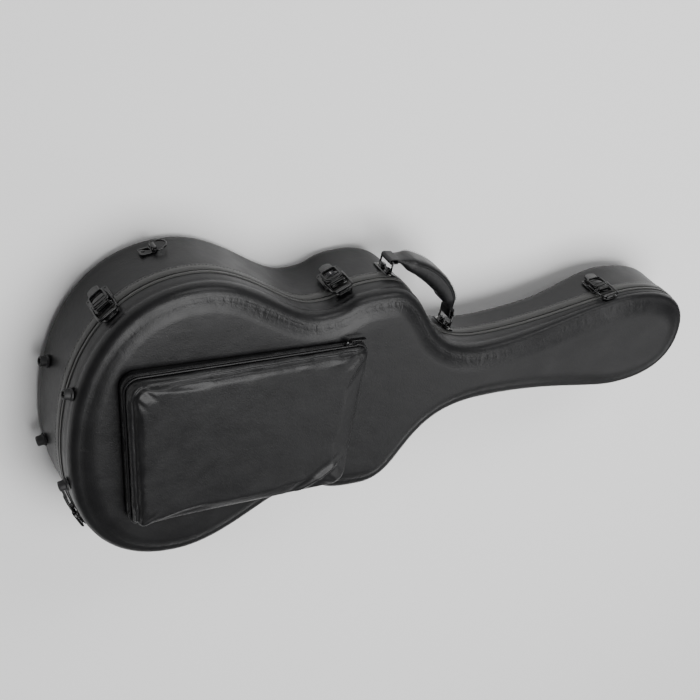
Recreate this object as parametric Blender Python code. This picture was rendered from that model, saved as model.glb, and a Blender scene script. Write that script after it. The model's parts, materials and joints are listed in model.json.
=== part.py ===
"""Hard-shell classical guitar case, lying on its back with the lid up.

Frame: +X runs from the tail to the head, +Y is the side with the handle, +Z is up.
The origin is on the flat back, in the middle of the lower body. Metres.
The outline's own lengths are counted from the tail and moved to that origin at the end.
"""
import math

import bpy
import bmesh
from mathutils import Matrix, Vector

# ---------------------------------------------------------------- driving dimensions
CASE_LENGTH = 1.070
ORIGIN_X = 0.200                 # tail to the frame's origin
LOWER_BOUT = (0.172, 0.228)      # distance from the tail, half width
WAIST = (0.361, 0.154)
UPPER_BOUT = (0.470, 0.175)
NECK = (0.664, 0.050)
HEAD = (0.950, 0.087)
LOOP_STEPS = 48                  # steps from tail to head along one side

BODY_DEPTH = 0.108               # base, from the seam to the back
NECK_DEPTH = 0.064
HEAD_DEPTH = 0.088
BACK_RISE = (0.451, 0.605)       # where the back rises from body depth to neck depth
BACK_FALL = (0.780, 0.950)       # where it falls again to head depth
BACK_RADIUS = 0.018
LID_WALL = 0.043                 # lid, from the seam to the top of its shoulder
LID_WALL_HEAD = 0.024
LID_FALL = (0.620, 0.900)        # where the lid falls from body height to head height
LID_RADIUS = 0.016
LID_RADIUS_HEAD = 0.009
LID_CROWN = 0.0075
CROWN_REACH = 0.038              # how far inside the edge the crowned top levels out
SHELL = 0.005                    # plywood and leatherette
LINING = 0.003                   # plush
GAP = 0.0003
SEAM = BODY_DEPTH

BAND_HEIGHT = 0.017              # raised covering strip round the base's rim
TRIM = 0.0012                    # how far strip and bead stand proud
BEAD_HEIGHT = 0.005
GASKET = 0.0015

HINGE_HALF = 0.028               # half the length of a lid hinge
KNUCKLE = 0.0035
HINGE_PIN = 0.0016
LEAF = 0.0014

LATCH_PLACES = (("1", 0.059, 1), ("2", 0.407, 1), ("3", 0.905, 1), ("4", 0.035, -1))
LATCH_PACKING = {"2": 0.003}       # thicker plates where the wall curves inward
LEVER_PIVOT = (0.0055, -0.008)   # outward from the rim and up from the seam
BAIL_PIVOT = (0.0055, -0.020)

HANDLE_DROP = 0.023              # handle's middle below the seam
HANDLE_ENDS = (0.488, 0.612)     # where the two brackets sit along the case
RING_REACH = 0.016               # hinge bar to outer bar
RING_HALF = 0.0160
RING_WIRE = 0.0017
RING_LEAN = (0.10, 0.995)        # both rings stand this way at rest
BAR_STAND = 0.005                # hinge bar above its plate's seat

ANCHOR_X = 0.144
ANCHOR_DROP = 0.068
BASE_FEET = (0.067, -0.074)      # half spacing, height from the seam
LID_FEET = (0.076, 0.021)

POCKET = ((0.057, 0.121), (0.430, 0.110), (0.424, -0.140), (0.084, -0.134))
POCKET_BASE = SEAM + LID_WALL + LID_CROWN + 0.001
POCKET_ZIP = (0.015, 0.008)      # zip line above the pocket's base, tail end and head end
POCKET_TOP = (0.036, 0.019)
POCKET_CORNER = 0.020
ZIP_DEEP = 0.009

BOX_X = (0.690, 0.790)
BOX_HALF = 0.031
BOX_TOP = 0.074
BOX_WALL = 0.003
CRADLE_X = (0.640, 0.672)


# ---------------------------------------------------------------- scene and materials
for old in list(bpy.data.objects):
    bpy.data.objects.remove(old, do_unlink=True)


def material(name, colour, roughness, metallic=0.0):
    mat = bpy.data.materials.new(name)
    mat.use_nodes = True
    shader = mat.node_tree.nodes["Principled BSDF"]
    shader.inputs["Base Color"].default_value = (*colour, 1.0)
    shader.inputs["Roughness"].default_value = roughness
    shader.inputs["Metallic"].default_value = metallic
    return mat


LEATHERETTE = material("black_leatherette", (0.020, 0.020, 0.021), 0.42)
EDGE_STRIP = material("edge_strip_leatherette", (0.045, 0.045, 0.047), 0.38)
GASKET_RUBBER = material("gasket_rubber", (0.006, 0.006, 0.006), 0.55)
BLACK_METAL = material("black_plated_steel", (0.010, 0.010, 0.011), 0.22, 1.0)
BRIGHT_METAL = material("nickel_plated_steel", (0.55, 0.55, 0.56), 0.25, 1.0)
PLUSH = material("black_plush", (0.012, 0.012, 0.014), 0.95)
ZIP_TAPE = material("nylon_zip", (0.008, 0.008, 0.008), 0.60)
FOOT_RUBBER = material("foot_rubber", (0.010, 0.010, 0.010), 0.60)


def add_mesh(name, bm, mat, smooth_angle=40):
    """Turn a bmesh into an object with outward faces and one material."""
    bmesh.ops.recalc_face_normals(bm, faces=bm.faces)
    mesh = bpy.data.meshes.new(name)
    bm.to_mesh(mesh)
    bm.free()
    mesh.shade_smooth()
    mesh.set_sharp_from_angle(angle=math.radians(smooth_angle))
    mesh.materials.append(mat)
    obj = bpy.data.objects.new(name, mesh)
    bpy.context.collection.objects.link(obj)
    return obj


def combine(target, tools, operation):
    """Apply exact Booleans of the tools to the target and remove the tools."""
    for tool in tools:
        step = target.modifiers.new("cut", "BOOLEAN")
        step.operation = operation
        step.solver = "EXACT"
        step.object = tool
    bpy.context.view_layer.update()
    depsgraph = bpy.context.evaluated_depsgraph_get()
    mesh = bpy.data.meshes.new_from_object(target.evaluated_get(depsgraph))
    mesh.name = target.name
    target.modifiers.clear()
    target.data = mesh
    for tool in tools:
        bpy.data.objects.remove(tool, do_unlink=True)
    return target


# ---------------------------------------------------------------- plan outline
def bezier(a, b, c, d, t):
    u = 1.0 - t
    return a * u ** 3 + b * 3 * u * u * t + c * 3 * u * t * t + d * t ** 3


def side_curve():
    """Dense points of the handle side, from the tail's middle to the head's middle."""
    tail, lower = Vector((0.0, 0.0)), Vector(LOWER_BOUT)
    waist, upper = Vector(WAIST), Vector(UPPER_BOUT)
    neck, head, end = Vector(NECK), Vector(HEAD), Vector((CASE_LENGTH, 0.0))
    spans = (
        (tail, Vector((0.0, 0.60 * lower.y)), lower - Vector((0.64 * lower.x, 0.0)), lower),
        (lower, lower + Vector((0.082, 0.0)), waist - Vector((0.050, 0.0)), waist),
        (waist, waist + Vector((0.058, 0.0)), upper - Vector((0.086, 0.0)), upper),
        (upper, upper + Vector((0.084, 0.0)), neck - Vector((0.139, 0.0)), neck),
        (neck, neck + Vector((0.111, 0.0)), head - Vector((0.062, 0.0)), head),
        (head, head + Vector((0.036, 0.0)), end + Vector((0.0, 0.92 * head.y)), end),
    )
    points = [bezier(*span, k / 60) for span in spans for k in range(60)]
    return points + [end]


def evenly(points, steps):
    """Resample a polyline to equal steps along its length."""
    runs = [0.0]
    for a, b in zip(points, points[1:]):
        runs.append(runs[-1] + (b - a).length)
    found, k = [], 0
    for step in range(steps + 1):
        want = runs[-1] * step / steps
        while k < len(points) - 2 and runs[k + 1] < want:
            k += 1
        share = (want - runs[k]) / (runs[k + 1] - runs[k])
        found.append(points[k].lerp(points[k + 1], min(max(share, 0.0), 1.0)))
    return found


HALF = evenly(side_curve(), LOOP_STEPS)
LOOP = HALF + [Vector((p.x, -p.y)) for p in reversed(HALF[1:-1])]
COUNT = len(LOOP)


def loop_normal(k):
    run = LOOP[(k + 1) % COUNT] - LOOP[k - 1]
    return Vector((-run.y, run.x)).normalized()


NORMALS = [loop_normal(k) for k in range(COUNT)]


def smooth_step(t):
    t = min(max(t, 0.0), 1.0)
    return t * t * (3.0 - 2.0 * t)


def ramp(x, span):
    return smooth_step((x - span[0]) / (span[1] - span[0]))


def base_depth(x):
    waisted = BODY_DEPTH + (NECK_DEPTH - BODY_DEPTH) * ramp(x, BACK_RISE)
    return waisted + (HEAD_DEPTH - NECK_DEPTH) * ramp(x, BACK_FALL)


def lid_wall(x):
    return LID_WALL + (LID_WALL_HEAD - LID_WALL) * ramp(x, LID_FALL)


def lid_radius(x):
    return LID_RADIUS + (LID_RADIUS_HEAD - LID_RADIUS) * ramp(x, LID_FALL)


def ring(inset, height):
    """One closed ring: the outline moved inwards; inset and height are functions of x."""
    found = []
    for p, n in zip(LOOP, NORMALS):
        q = p - n * inset(p.x)
        found.append((q.x, q.y, height(p.x)))
    return found


def base_rings(inset, rim):
    """Rings of the base's surface at a depth under its skin, from the rim to the back."""
    radius = BACK_RADIUS - inset
    rings = [ring(lambda x: inset, lambda x: rim)]
    for angle in (0, 45, 90):
        a = math.radians(angle)
        side = inset + radius * (1.0 - math.cos(a))
        drop = radius * (1.0 - math.sin(a)) + inset
        rings.append(ring(lambda x: side, lambda x: SEAM - base_depth(x) + drop))
    return rings


def lid_rings(inset, rim):
    """Rings of the lid's surface at a depth under its skin, from the rim to the top."""
    def bend(x, turn):
        return inset + (lid_radius(x) - inset) * (1.0 - turn)

    rings = [ring(lambda x: inset, lambda x: rim)]
    for angle in (0, 45, 90):
        a = math.radians(angle)
        rings.append(ring(lambda x: bend(x, math.cos(a)),
                          lambda x: SEAM + lid_wall(x) - bend(x, math.sin(a))))
    rings.append(ring(lambda x: CROWN_REACH, lambda x: SEAM + lid_wall(x) + LID_CROWN - inset))
    return rings


def tray(name, outer, inner, mat):
    """Open tray between two sets of rings, closed across the floor in cross strips."""
    bm = bmesh.new()
    skins = [[[bm.verts.new(v) for v in row] for row in rows] for rows in (outer, inner)]
    for rows in skins:
        for low, high in zip(rows, rows[1:]):
            for k in range(COUNT):
                n = (k + 1) % COUNT
                bm.faces.new((low[k], low[n], high[n], high[k]))
        last = rows[-1]
        for k in range(LOOP_STEPS):
            far, near = -k % COUNT, -(k + 1) % COUNT
            corners = [last[k], last[k + 1], last[near], last[far]]
            bm.faces.new(list(dict.fromkeys(corners)))
    for k in range(COUNT):
        n = (k + 1) % COUNT
        bm.faces.new((skins[0][0][k], skins[0][0][n], skins[1][0][n], skins[1][0][k]))
    return add_mesh(name, bm, mat)


def hoop(name, out, inside, low, high, mat):
    """Flat closed strip round the case between two insets and two heights."""
    bm = bmesh.new()
    corners = ((out, low), (out, high), (inside, high), (inside, low))
    rows = [[bm.verts.new(v) for v in ring(lambda x: d, lambda x: z)] for d, z in corners]
    for side in range(4):
        low_row, high_row = rows[side], rows[(side + 1) % 4]
        for k in range(COUNT):
            n = (k + 1) % COUNT
            bm.faces.new((low_row[k], low_row[n], high_row[n], high_row[k]))
    return add_mesh(name, bm, mat)


# ---------------------------------------------------------------- shells, trim and linings
BASE_RIM = SEAM - GASKET - GAP
LID_RIM = SEAM + GAP
tray("base_shell", base_rings(0.0, BASE_RIM), base_rings(SHELL, BASE_RIM), LEATHERETTE)
tray("lid_shell", lid_rings(0.0, LID_RIM), lid_rings(SHELL, LID_RIM), LEATHERETTE)
hoop("base_rim_band", -GAP - TRIM, -GAP, SEAM - BAND_HEIGHT, BASE_RIM, EDGE_STRIP)
hoop("rim_gasket", -GAP - TRIM, SHELL - 0.0005, SEAM - GASKET, SEAM, GASKET_RUBBER)
hoop("lid_rim_bead", -GAP - TRIM, -GAP, LID_RIM, SEAM + BEAD_HEIGHT, EDGE_STRIP)

SKIN = SHELL + GAP
tray("base_lining", base_rings(SKIN, BASE_RIM - 0.004),
     base_rings(SKIN + LINING, BASE_RIM - 0.004), PLUSH)
tray("lid_lining", lid_rings(SKIN, LID_RIM + 0.003),
     lid_rings(SKIN + LINING, LID_RIM + 0.003), PLUSH)


# ---------------------------------------------------------------- small solid builders
def rounded(width, height, radius, centre=(0.0, 0.0), steps=3):
    """Corner-rounded rectangle outline, anticlockwise."""
    points = []
    for sx, sy, start in ((1, 1, 0), (-1, 1, 90), (-1, -1, 180), (1, -1, 270)):
        cx = centre[0] + sx * (width / 2 - radius)
        cy = centre[1] + sy * (height / 2 - radius)
        for k in range(steps + 1):
            a = math.radians(start + 90 * k / steps)
            points.append((cx + radius * math.cos(a), cy + radius * math.sin(a)))
    return points


def prism(name, outline, low, high, mat, axis="Y"):
    """Outline extruded along one local axis: XZ outline along Y, YZ along X, XY along Z."""
    place = {
        "X": lambda a, b, h: (h, a, b),
        "Y": lambda a, b, h: (a, h, b),
        "Z": lambda a, b, h: (a, b, h),
    }[axis]
    bm = bmesh.new()
    rows = [[bm.verts.new(place(a, b, h)) for a, b in outline] for h in (low, high)]
    bm.faces.new(rows[0])
    bm.faces.new(rows[1])
    total = len(outline)
    for k in range(total):
        n = (k + 1) % total
        bm.faces.new((rows[0][k], rows[0][n], rows[1][n], rows[1][k]))
    return add_mesh(name, bm, mat)


def circle(radius, centre=(0.0, 0.0), steps=12):
    turn = 2 * math.pi / steps
    return [(centre[0] + radius * math.cos(turn * k), centre[1] + radius * math.sin(turn * k))
            for k in range(steps)]


def turned(name, profile, mat, steps=16):
    """Solid of revolution about local Y from (radius, height) pairs; radius 0 is a pole."""
    bm = bmesh.new()
    rows = []
    for radius, height in profile:
        if radius == 0.0:
            rows.append([bm.verts.new((0.0, height, 0.0))])
        else:
            rows.append([bm.verts.new((x, height, z)) for x, z in circle(radius, steps=steps)])
    for low, high in zip(rows, rows[1:]):
        for k in range(steps):
            n = (k + 1) % steps
            ring_of = [low[k % len(low)], low[n % len(low)], high[n % len(high)], high[k % len(high)]]
            bm.faces.new(list(dict.fromkeys(ring_of)))
    return add_mesh(name, bm, mat)


def wire(name, points, radius, mat):
    """Closed loop of round wire through the points."""
    curve = bpy.data.curves.new(name, "CURVE")
    curve.dimensions = "3D"
    curve.bevel_depth = radius
    curve.bevel_resolution = 2
    spline = curve.splines.new("POLY")
    spline.points.add(len(points) - 1)
    for point, place in zip(spline.points, points):
        point.co = (*place, 1.0)
    spline.use_cyclic_u = True
    curve.materials.append(mat)
    obj = bpy.data.objects.new(name, curve)
    bpy.context.collection.objects.link(obj)
    return obj


# ---------------------------------------------------------------- places on the side walls
def wall_at(value, side, axis=0):
    """Point and outward normal of the side wall at an x, or on the tail at a y (axis 1)."""
    for a, b in zip(HALF, HALF[1:]):
        if a[axis] <= value <= b[axis]:
            point = a.lerp(b, (value - a[axis]) / (b[axis] - a[axis]))
            run = b - a
            normal = Vector((-run.y, run.x)).normalized()
            return Vector((point.x, side * point.y)), Vector((normal.x, side * normal.y))
    raise ValueError("no wall there")


def seat(value, side, half_width, height, axis=0):
    """Frame on the wall: local Y points out, Z up, and its origin clears the rim trim."""
    point, normal = wall_at(value, side, axis)
    along = Vector((normal.y, -normal.x))
    rise = 0.0
    for k in range(COUNT):
        for step in range(16):
            edge = LOOP[k].lerp(LOOP[(k + 1) % COUNT], step / 16) - point
            if abs(edge.dot(along)) <= half_width and abs(edge.dot(normal)) < 0.05:
                rise = max(rise, edge.dot(normal))
    spot = point + normal * (rise + TRIM + 2 * GAP)
    turn = math.atan2(normal.y, normal.x) - math.pi / 2
    return Matrix.Translation((spot.x, spot.y, height)) @ Matrix.Rotation(turn, 4, "Z")


def put(obj, frame, pivot=(0.0, 0.0, 0.0)):
    """Place an object by a frame, with its origin moved to a point of that frame."""
    move = Matrix.Translation(pivot)
    obj.data.transform(move.inverted())
    obj.matrix_world = frame @ move
    return obj


def carry(obj, parent):
    """Parent an object without moving it."""
    bpy.context.view_layer.update()
    obj.parent = parent
    obj.matrix_parent_inverse = parent.matrix_world.inverted()


def flat(frame, x, y):
    """World XY of a local point of a wall frame."""
    spot = frame @ Vector((x, y, 0.0))
    return Vector((spot.x, spot.y))


# ---------------------------------------------------------------- latches
def lug(place, pivot, width, radius):
    """Ear that stands off a plate to the pivot, as a prism along local X."""
    y, z = pivot
    outline = [(0.0008, z - radius - 0.0012), (y, z - radius)]
    for k in range(1, 6):
        a = math.radians(-90 + 30 * k)
        outline.append((y + radius * math.cos(a), z + radius * math.sin(a)))
    outline += [(y, z + radius), (0.0008, z + radius)]
    return prism("lug", outline, place - width / 2, place + width / 2, BLACK_METAL, "X")


def lever_outline():
    """Lever seen from outside: a neck at the pivot, a wide body, a round thumb tab."""
    body, neck, tab = 0.013, 0.0078, 0.0095
    left = [(-neck, -0.0065), (-neck, -0.0128), (-body + 0.001, -0.0134), (-body, -0.0150),
            (-body, -0.0360), (-body + 0.002, -0.0385), (-tab, -0.0395)]
    arc = [(-tab * math.cos(math.radians(30 * k)), -0.0455 - 0.0065 * math.sin(math.radians(30 * k)))
           for k in range(0, 7)]
    return left + arc + [(-x, z) for x, z in reversed(left)]


def bail_outline():
    """Flat U that reaches from the lever's sides round the keeper."""
    outer, inner, low, high = 0.0172, 0.0138, -0.0228, 0.0148
    corner = 0.006
    arc = [math.radians(15 + 30 * k) for k in range(3)]
    right = [(outer, low)]
    right += [(outer - corner + corner * math.cos(a), high - corner + corner * math.sin(a)) for a in arc]
    left = [(-x, z) for x, z in reversed(right)]
    bend = corner - 0.0034
    inside = [(-inner, low)]
    inside += [(-inner + bend - bend * math.cos(a), high - 0.0034 - bend + bend * math.sin(a)) for a in arc]
    inside += [(-x, z) for x, z in reversed(inside)]
    return right + left + inside


for tag, x, side in LATCH_PLACES:
    packing = LATCH_PACKING.get(tag, 0.0)
    frame = seat(x, side, 0.020, SEAM) @ Matrix.Translation((0.0, packing, 0.0))
    plate = prism("latch_plate_" + tag, rounded(0.036, 0.041, 0.005, (0.0, -0.0255)),
                  -packing, 0.0016, BLACK_METAL)
    ears = [lug(place, LEVER_PIVOT, 0.0020, 0.0030) for place in (-0.0096, 0.0096)]
    put(combine(plate, ears, "UNION"), frame)

    lever = prism("latch_lever_" + tag, lever_outline(), 0.0040, 0.0075, BLACK_METAL)
    barrel = prism("barrel", circle(0.0029, LEVER_PIVOT), -0.0082, 0.0082, BLACK_METAL, "X")
    put(combine(lever, [barrel], "UNION"), frame, (0.0, *LEVER_PIVOT))
    bail = prism("latch_bail_" + tag, bail_outline(), 0.0040, 0.0068, BLACK_METAL)
    put(bail, frame, (0.0, *BAIL_PIVOT))
    carry(bail, lever)

    keeper = prism("latch_keeper_" + tag, rounded(0.026, 0.0135, 0.005, (0.0, 0.0100)),
                   -packing, 0.0015, BLACK_METAL)
    boss = prism("boss", rounded(0.018, 0.0085, 0.0030, (0.0, 0.0094)), 0.0008, 0.0036, BLACK_METAL)
    put(combine(keeper, [boss], "UNION"), frame)

LOCK_FRAME = seat(LATCH_PLACES[1][1], 1, 0.020, SEAM) @ Matrix.Translation((0.0, LATCH_PACKING["2"], 0.0))
put(turned("lock_barrel", [(0.0, 0.0078), (0.0042, 0.0078), (0.0042, 0.0088), (0.0034, 0.0094),
                           (0.0, 0.0094)], BRIGHT_METAL), LOCK_FRAME @ Matrix.Translation((0, 0, -0.026)))


# ---------------------------------------------------------------- lid hinges
def support(angle, low, high):
    """Outermost point of one bout on the hinge side, looking along a slanted normal."""
    normal = Vector((math.sin(angle), -math.cos(angle)))
    spots = [Vector((p.x, -p.y)) for p in HALF if low <= p.x <= high]
    return max(spots, key=lambda p: p.dot(normal)), normal


def hinge_line():
    """Slanted line that touches both bouts on the hinge side: angle and offset."""
    low, high = 0.0, 0.5
    for _ in range(40):
        angle = (low + high) / 2
        wide, normal = support(angle, 0.0, 0.30)
        slim, normal = support(angle, 0.42, 0.60)
        if wide.dot(normal) > slim.dot(normal):
            low = angle
        else:
            high = angle
    return angle, wide, slim, normal


HINGE_ANGLE, WIDE_TOUCH, SLIM_TOUCH, HINGE_OUT = hinge_line()
HINGE_STAND = TRIM + 2 * GAP + KNUCKLE + 0.0005


def hinge_frame(touch):
    """Local X along the pin, Y out from the case, Z up, at the pin's centre."""
    spot = touch + HINGE_OUT * HINGE_STAND
    turn = math.atan2(HINGE_OUT.y, HINGE_OUT.x) - math.pi / 2
    return Matrix.Translation((spot.x, spot.y, SEAM)) @ Matrix.Rotation(turn, 4, "Z")


def leaf(name, up, knuckles):
    """Hinge leaf: a plate on the wall with knuckles that share the pin."""
    near, far = sorted((up * 0.0042, up * 0.024))
    width = 2 * HINGE_HALF
    body = prism(name, rounded(width, far - near, 0.003, (0.0, (near + far) / 2)),
                 -KNUCKLE, LEAF - KNUCKLE, BLACK_METAL)
    joins = []
    for start, end in knuckles:
        joins.append(prism("knuckle", circle(KNUCKLE), start, end, BLACK_METAL, "X"))
        reach = sorted((0.0, up * 0.0060))
        corners = [(-KNUCKLE, reach[0]), (LEAF - KNUCKLE, reach[0]),
                   (LEAF - KNUCKLE, reach[1]), (-KNUCKLE, reach[1])]
        joins.append(prism("tongue", corners, start, end, BLACK_METAL, "X"))
    combine(body, joins, "UNION")
    bore = prism("bore", circle(HINGE_PIN + 0.0003), -0.04, 0.04, BLACK_METAL, "X")
    return combine(body, [bore], "DIFFERENCE")


MIDDLE = 0.0095
for tag, touch in (("lower", WIDE_TOUCH), ("upper", SLIM_TOUCH)):
    frame = hinge_frame(touch)
    outer_knuckles = ((-HINGE_HALF, -MIDDLE), (MIDDLE, HINGE_HALF))
    put(leaf("hinge_base_leaf_" + tag, -1, outer_knuckles), frame)
    put(leaf("hinge_lid_leaf_" + tag, 1, ((-MIDDLE + GAP, MIDDLE - GAP),)), frame)
    reach = HINGE_HALF + 0.001
    put(prism("hinge_pin_" + tag, circle(HINGE_PIN), -reach, reach, BLACK_METAL, "X"), frame)


# ---------------------------------------------------------------- feet on the tail
FOOT = [(0.0, 0.0), (0.0095, 0.0), (0.0095, 0.0020), (0.0078, 0.0035), (0.0072, 0.0105),
        (0.0060, 0.0120), (0.0, 0.0120)]
for tag, (spread, rise) in (("base", BASE_FEET), ("lid", LID_FEET)):
    for side, name in ((1, "handle_side"), (-1, "hinge_side")):
        place = seat(spread, side, 0.009, SEAM + rise, axis=1)
        put(turned("foot_" + tag + "_" + name, FOOT, FOOT_RUBBER), place)


# ---------------------------------------------------------------- carrying handle
def bar_saddle(place, half_length):
    """Block round a hinge bar that stands off a plate, local Z along the bar."""
    corners = [(-0.0042, 0.0008), (-0.0042, BAR_STAND), (-0.0030, BAR_STAND + 0.0032),
               (0.0030, BAR_STAND + 0.0032), (0.0042, BAR_STAND), (0.0042, 0.0008)]
    return prism("saddle", corners, place - half_length, place + half_length, BLACK_METAL, "Z")


def bar_bracket(name, width, height, saddles, wire_radius, shift=0.0):
    """Plate riveted to the wall whose saddles hold a ring's hinge bar."""
    plate = prism(name, rounded(width, height, 0.005, (shift, 0.0)), 0.0, 0.0015, BLACK_METAL)
    combine(plate, [bar_saddle(place, half) for place, half in saddles], "UNION")
    bore = prism("bore", circle(wire_radius + 0.0004, (0.0, BAR_STAND)), -0.05, 0.05, BLACK_METAL, "Z")
    return combine(plate, [bore], "DIFFERENCE")


LEAN = Vector(RING_LEAN).normalized()
HANDLE_Z = SEAM - HANDLE_DROP
HANDLE_FRAMES = [seat(x, 1, 0.010, HANDLE_Z) for x in HANDLE_ENDS]
HINGE_BARS = [flat(frame, 0.0, BAR_STAND) for frame in HANDLE_FRAMES]
OUTER_BARS = [bar + LEAN * RING_REACH for bar in HINGE_BARS]

for tag, frame, bar in zip(("tail", "head"), HANDLE_FRAMES, HINGE_BARS):
    saddles = ((-0.0085, 0.0040), (0.0085, 0.0040))
    put(bar_bracket("handle_bracket_" + tag, 0.018, 0.042, saddles, RING_WIRE), frame)
    far = LEAN * RING_REACH
    corners = [(0.0, 0.0, -RING_HALF), (far.x, far.y, -RING_HALF),
               (far.x, far.y, RING_HALF), (0.0, 0.0, RING_HALF)]
    loop = wire("handle_ring_" + tag, corners, RING_WIRE, BLACK_METAL)
    loop.location = (bar.x, bar.y, HANDLE_Z)

GRIP_STATIONS = 17
STRAP = (0.0022, 0.0130)         # half thickness, half width of the strap ends
PAD = (0.0095, 0.0210)           # the same for the padded middle


def grip_path(t):
    """Middle line of the handle between the outer bars, bowed away from the case."""
    start, end = OUTER_BARS
    reach = (end - start).length
    first = start + Vector((0.98, -0.10)).normalized() * reach * 0.38
    second = end + Vector((-0.06, 1.0)).normalized() * reach * 0.38
    return bezier(start, first, second, end, t)


def grip_section(t):
    """Half thickness and half width: straps at both ends, padding between."""
    share = smooth_step((t - 0.08) / 0.14) * smooth_step((0.92 - t) / 0.14)
    return [a + (b - a) * share for a, b in zip(STRAP, PAD)]


def handle_grip():
    bm = bmesh.new()
    rows = []
    for k in range(GRIP_STATIONS):
        t = k / (GRIP_STATIONS - 1)
        centre = grip_path(t)
        run = grip_path(min(t + 0.01, 1.0)) - grip_path(max(t - 0.01, 0.0))
        out = Vector((-run.y, run.x)).normalized()
        thick, wide = grip_section(t)
        row = []
        for a, b in rounded(2 * thick, 2 * wide, 0.85 * thick, steps=2):
            spot = centre + out * a
            row.append(bm.verts.new((spot.x, spot.y, b)))
        rows.append(row)
    total = len(rows[0])
    for low, high in zip(rows, rows[1:]):
        for k in range(total):
            n = (k + 1) % total
            bm.faces.new((low[k], low[n], high[n], high[k]))
    bm.faces.new(rows[0])
    bm.faces.new(rows[-1])
    grip = add_mesh("handle_grip", bm, LEATHERETTE)
    eyes = [prism("eye", circle(0.0042, bar), -STRAP[1], STRAP[1], LEATHERETTE, "Z")
            for bar in OUTER_BARS]
    combine(grip, eyes, "UNION")
    bores = [prism("bore", circle(RING_WIRE + 0.0005, bar), -0.05, 0.05, LEATHERETTE, "Z")
             for bar in OUTER_BARS]
    combine(grip, bores, "DIFFERENCE")
    start = OUTER_BARS[0]
    grip.data.transform(Matrix.Translation((-start.x, -start.y, 0.0)))
    grip.location = (start.x, start.y, HANDLE_Z)
    return grip


carry(handle_grip(), bpy.data.objects["handle_ring_tail"])


# ---------------------------------------------------------------- strap anchors
def d_ring_points(reach_sign):
    """Straight hinge bar with a round bow, in a plane that lifts a little off the wall."""
    half, tilt = 0.0115, math.radians(6)
    points = [(0.0, -half), (0.0, half)]
    for k in range(1, 8):
        a = math.radians(90 - 180 * k / 8)
        points.append((0.006 + 0.013 * math.cos(a), half * math.sin(a)))
    return [(reach_sign * u * math.cos(tilt), u * math.sin(tilt), v) for u, v in points]


for side, tag in ((1, "handle_side"), (-1, "hinge_side")):
    frame = seat(ANCHOR_X, side, 0.014, SEAM - ANCHOR_DROP)
    plate = bar_bracket("strap_anchor_" + tag, 0.026, 0.018, ((0.0, 0.0060),), 0.0014, -side * 0.008)
    put(plate, frame)
    ring_frame = frame @ Matrix.Translation((0.0, BAR_STAND, 0.0))
    put(wire("strap_ring_" + tag, d_ring_points(side), 0.0014, BLACK_METAL), ring_frame)


# ---------------------------------------------------------------- lid pocket
def pocket_outline(inset):
    """Pocket's plan with rounded corners, moved inwards by an inset."""
    corners = [Vector(p) for p in POCKET]
    points = []
    for k, corner in enumerate(corners):
        before = (corners[k - 1] - corner).normalized()
        after = (corners[(k + 1) % 4] - corner).normalized()
        middle = (before + after).normalized()
        half = math.acos(max(-1.0, min(1.0, before.dot(after)))) / 2
        radius = POCKET_CORNER - inset
        centre = corner + middle * (POCKET_CORNER / math.sin(half))
        start = (centre - corner - before * (centre - corner).dot(before)).normalized() * -radius
        end = (centre - corner - after * (centre - corner).dot(after)).normalized() * -radius
        for step in range(5):
            spoke = start.lerp(end, step / 4).normalized() * radius
            points.append(centre + spoke)
    return points


def pocket_height(x, heights):
    share = (x - POCKET[0][0]) / (POCKET[1][0] - POCKET[0][0])
    return POCKET_BASE + heights[0] + (heights[1] - heights[0]) * share


def slab(name, outline, low, high, mat):
    """Solid on a plan outline between two surfaces given as functions of x."""
    bm = bmesh.new()
    rows = [[bm.verts.new((p.x, p.y, f(p.x))) for p in outline] for f in (low, high)]
    total = len(outline)
    for k in range(total):
        n = (k + 1) % total
        bm.faces.new((rows[0][k], rows[0][n], rows[1][n], rows[1][k]))
    bm.faces.new(rows[0])
    bm.faces.new(rows[1])
    return add_mesh(name, bm, mat)


def zip_height(offset):
    return lambda x: pocket_height(x, POCKET_ZIP) + offset


slab("pocket_gusset", pocket_outline(0.0), lambda x: POCKET_BASE, zip_height(-0.0022), LEATHERETTE)
front = slab("pocket_front", pocket_outline(0.0), zip_height(-0.0019),
             lambda x: pocket_height(x, POCKET_TOP), LEATHERETTE)


def zip_corner(inset):
    """Corners of the strip along the tail and handle sides, measured inwards."""
    top_left, top_right, bottom_right, bottom_left = [Vector(p) for p in POCKET]
    top_run = (top_right - top_left).normalized()
    side_run = (bottom_left - top_left).normalized()
    start = top_left + (top_run + side_run) * inset
    return start, top_run, side_run, (top_right - top_left).length, (bottom_left - top_left).length


def zip_strip(outer, inner, short):
    """Mitred strip outline: along the handle side, round the corner, along the tail side."""
    a, top_run, side_run, top_length, side_length = zip_corner(outer)
    b = zip_corner(inner)[0]
    bend = POCKET_CORNER * 0.30
    far_top, far_side = top_length - short, side_length - short
    top_left = zip_corner(0.0)[0]
    return [top_left + top_run * far_top + side_run * outer, a + top_run * bend,
            a + side_run * bend, top_left + side_run * far_side + top_run * outer,
            top_left + side_run * far_side + top_run * inner, b,
            top_left + top_run * far_top + side_run * inner]


groove = slab("groove", zip_strip(-0.010, ZIP_DEEP + 0.0004, 0.018), zip_height(-0.004),
              zip_height(0.0022), ZIP_TAPE)
combine(front, [groove], "DIFFERENCE")
slab("zipper_chain", zip_strip(0.0020, ZIP_DEEP, 0.0184), zip_height(-0.0018), zip_height(0.0018),
     ZIP_TAPE)

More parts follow.
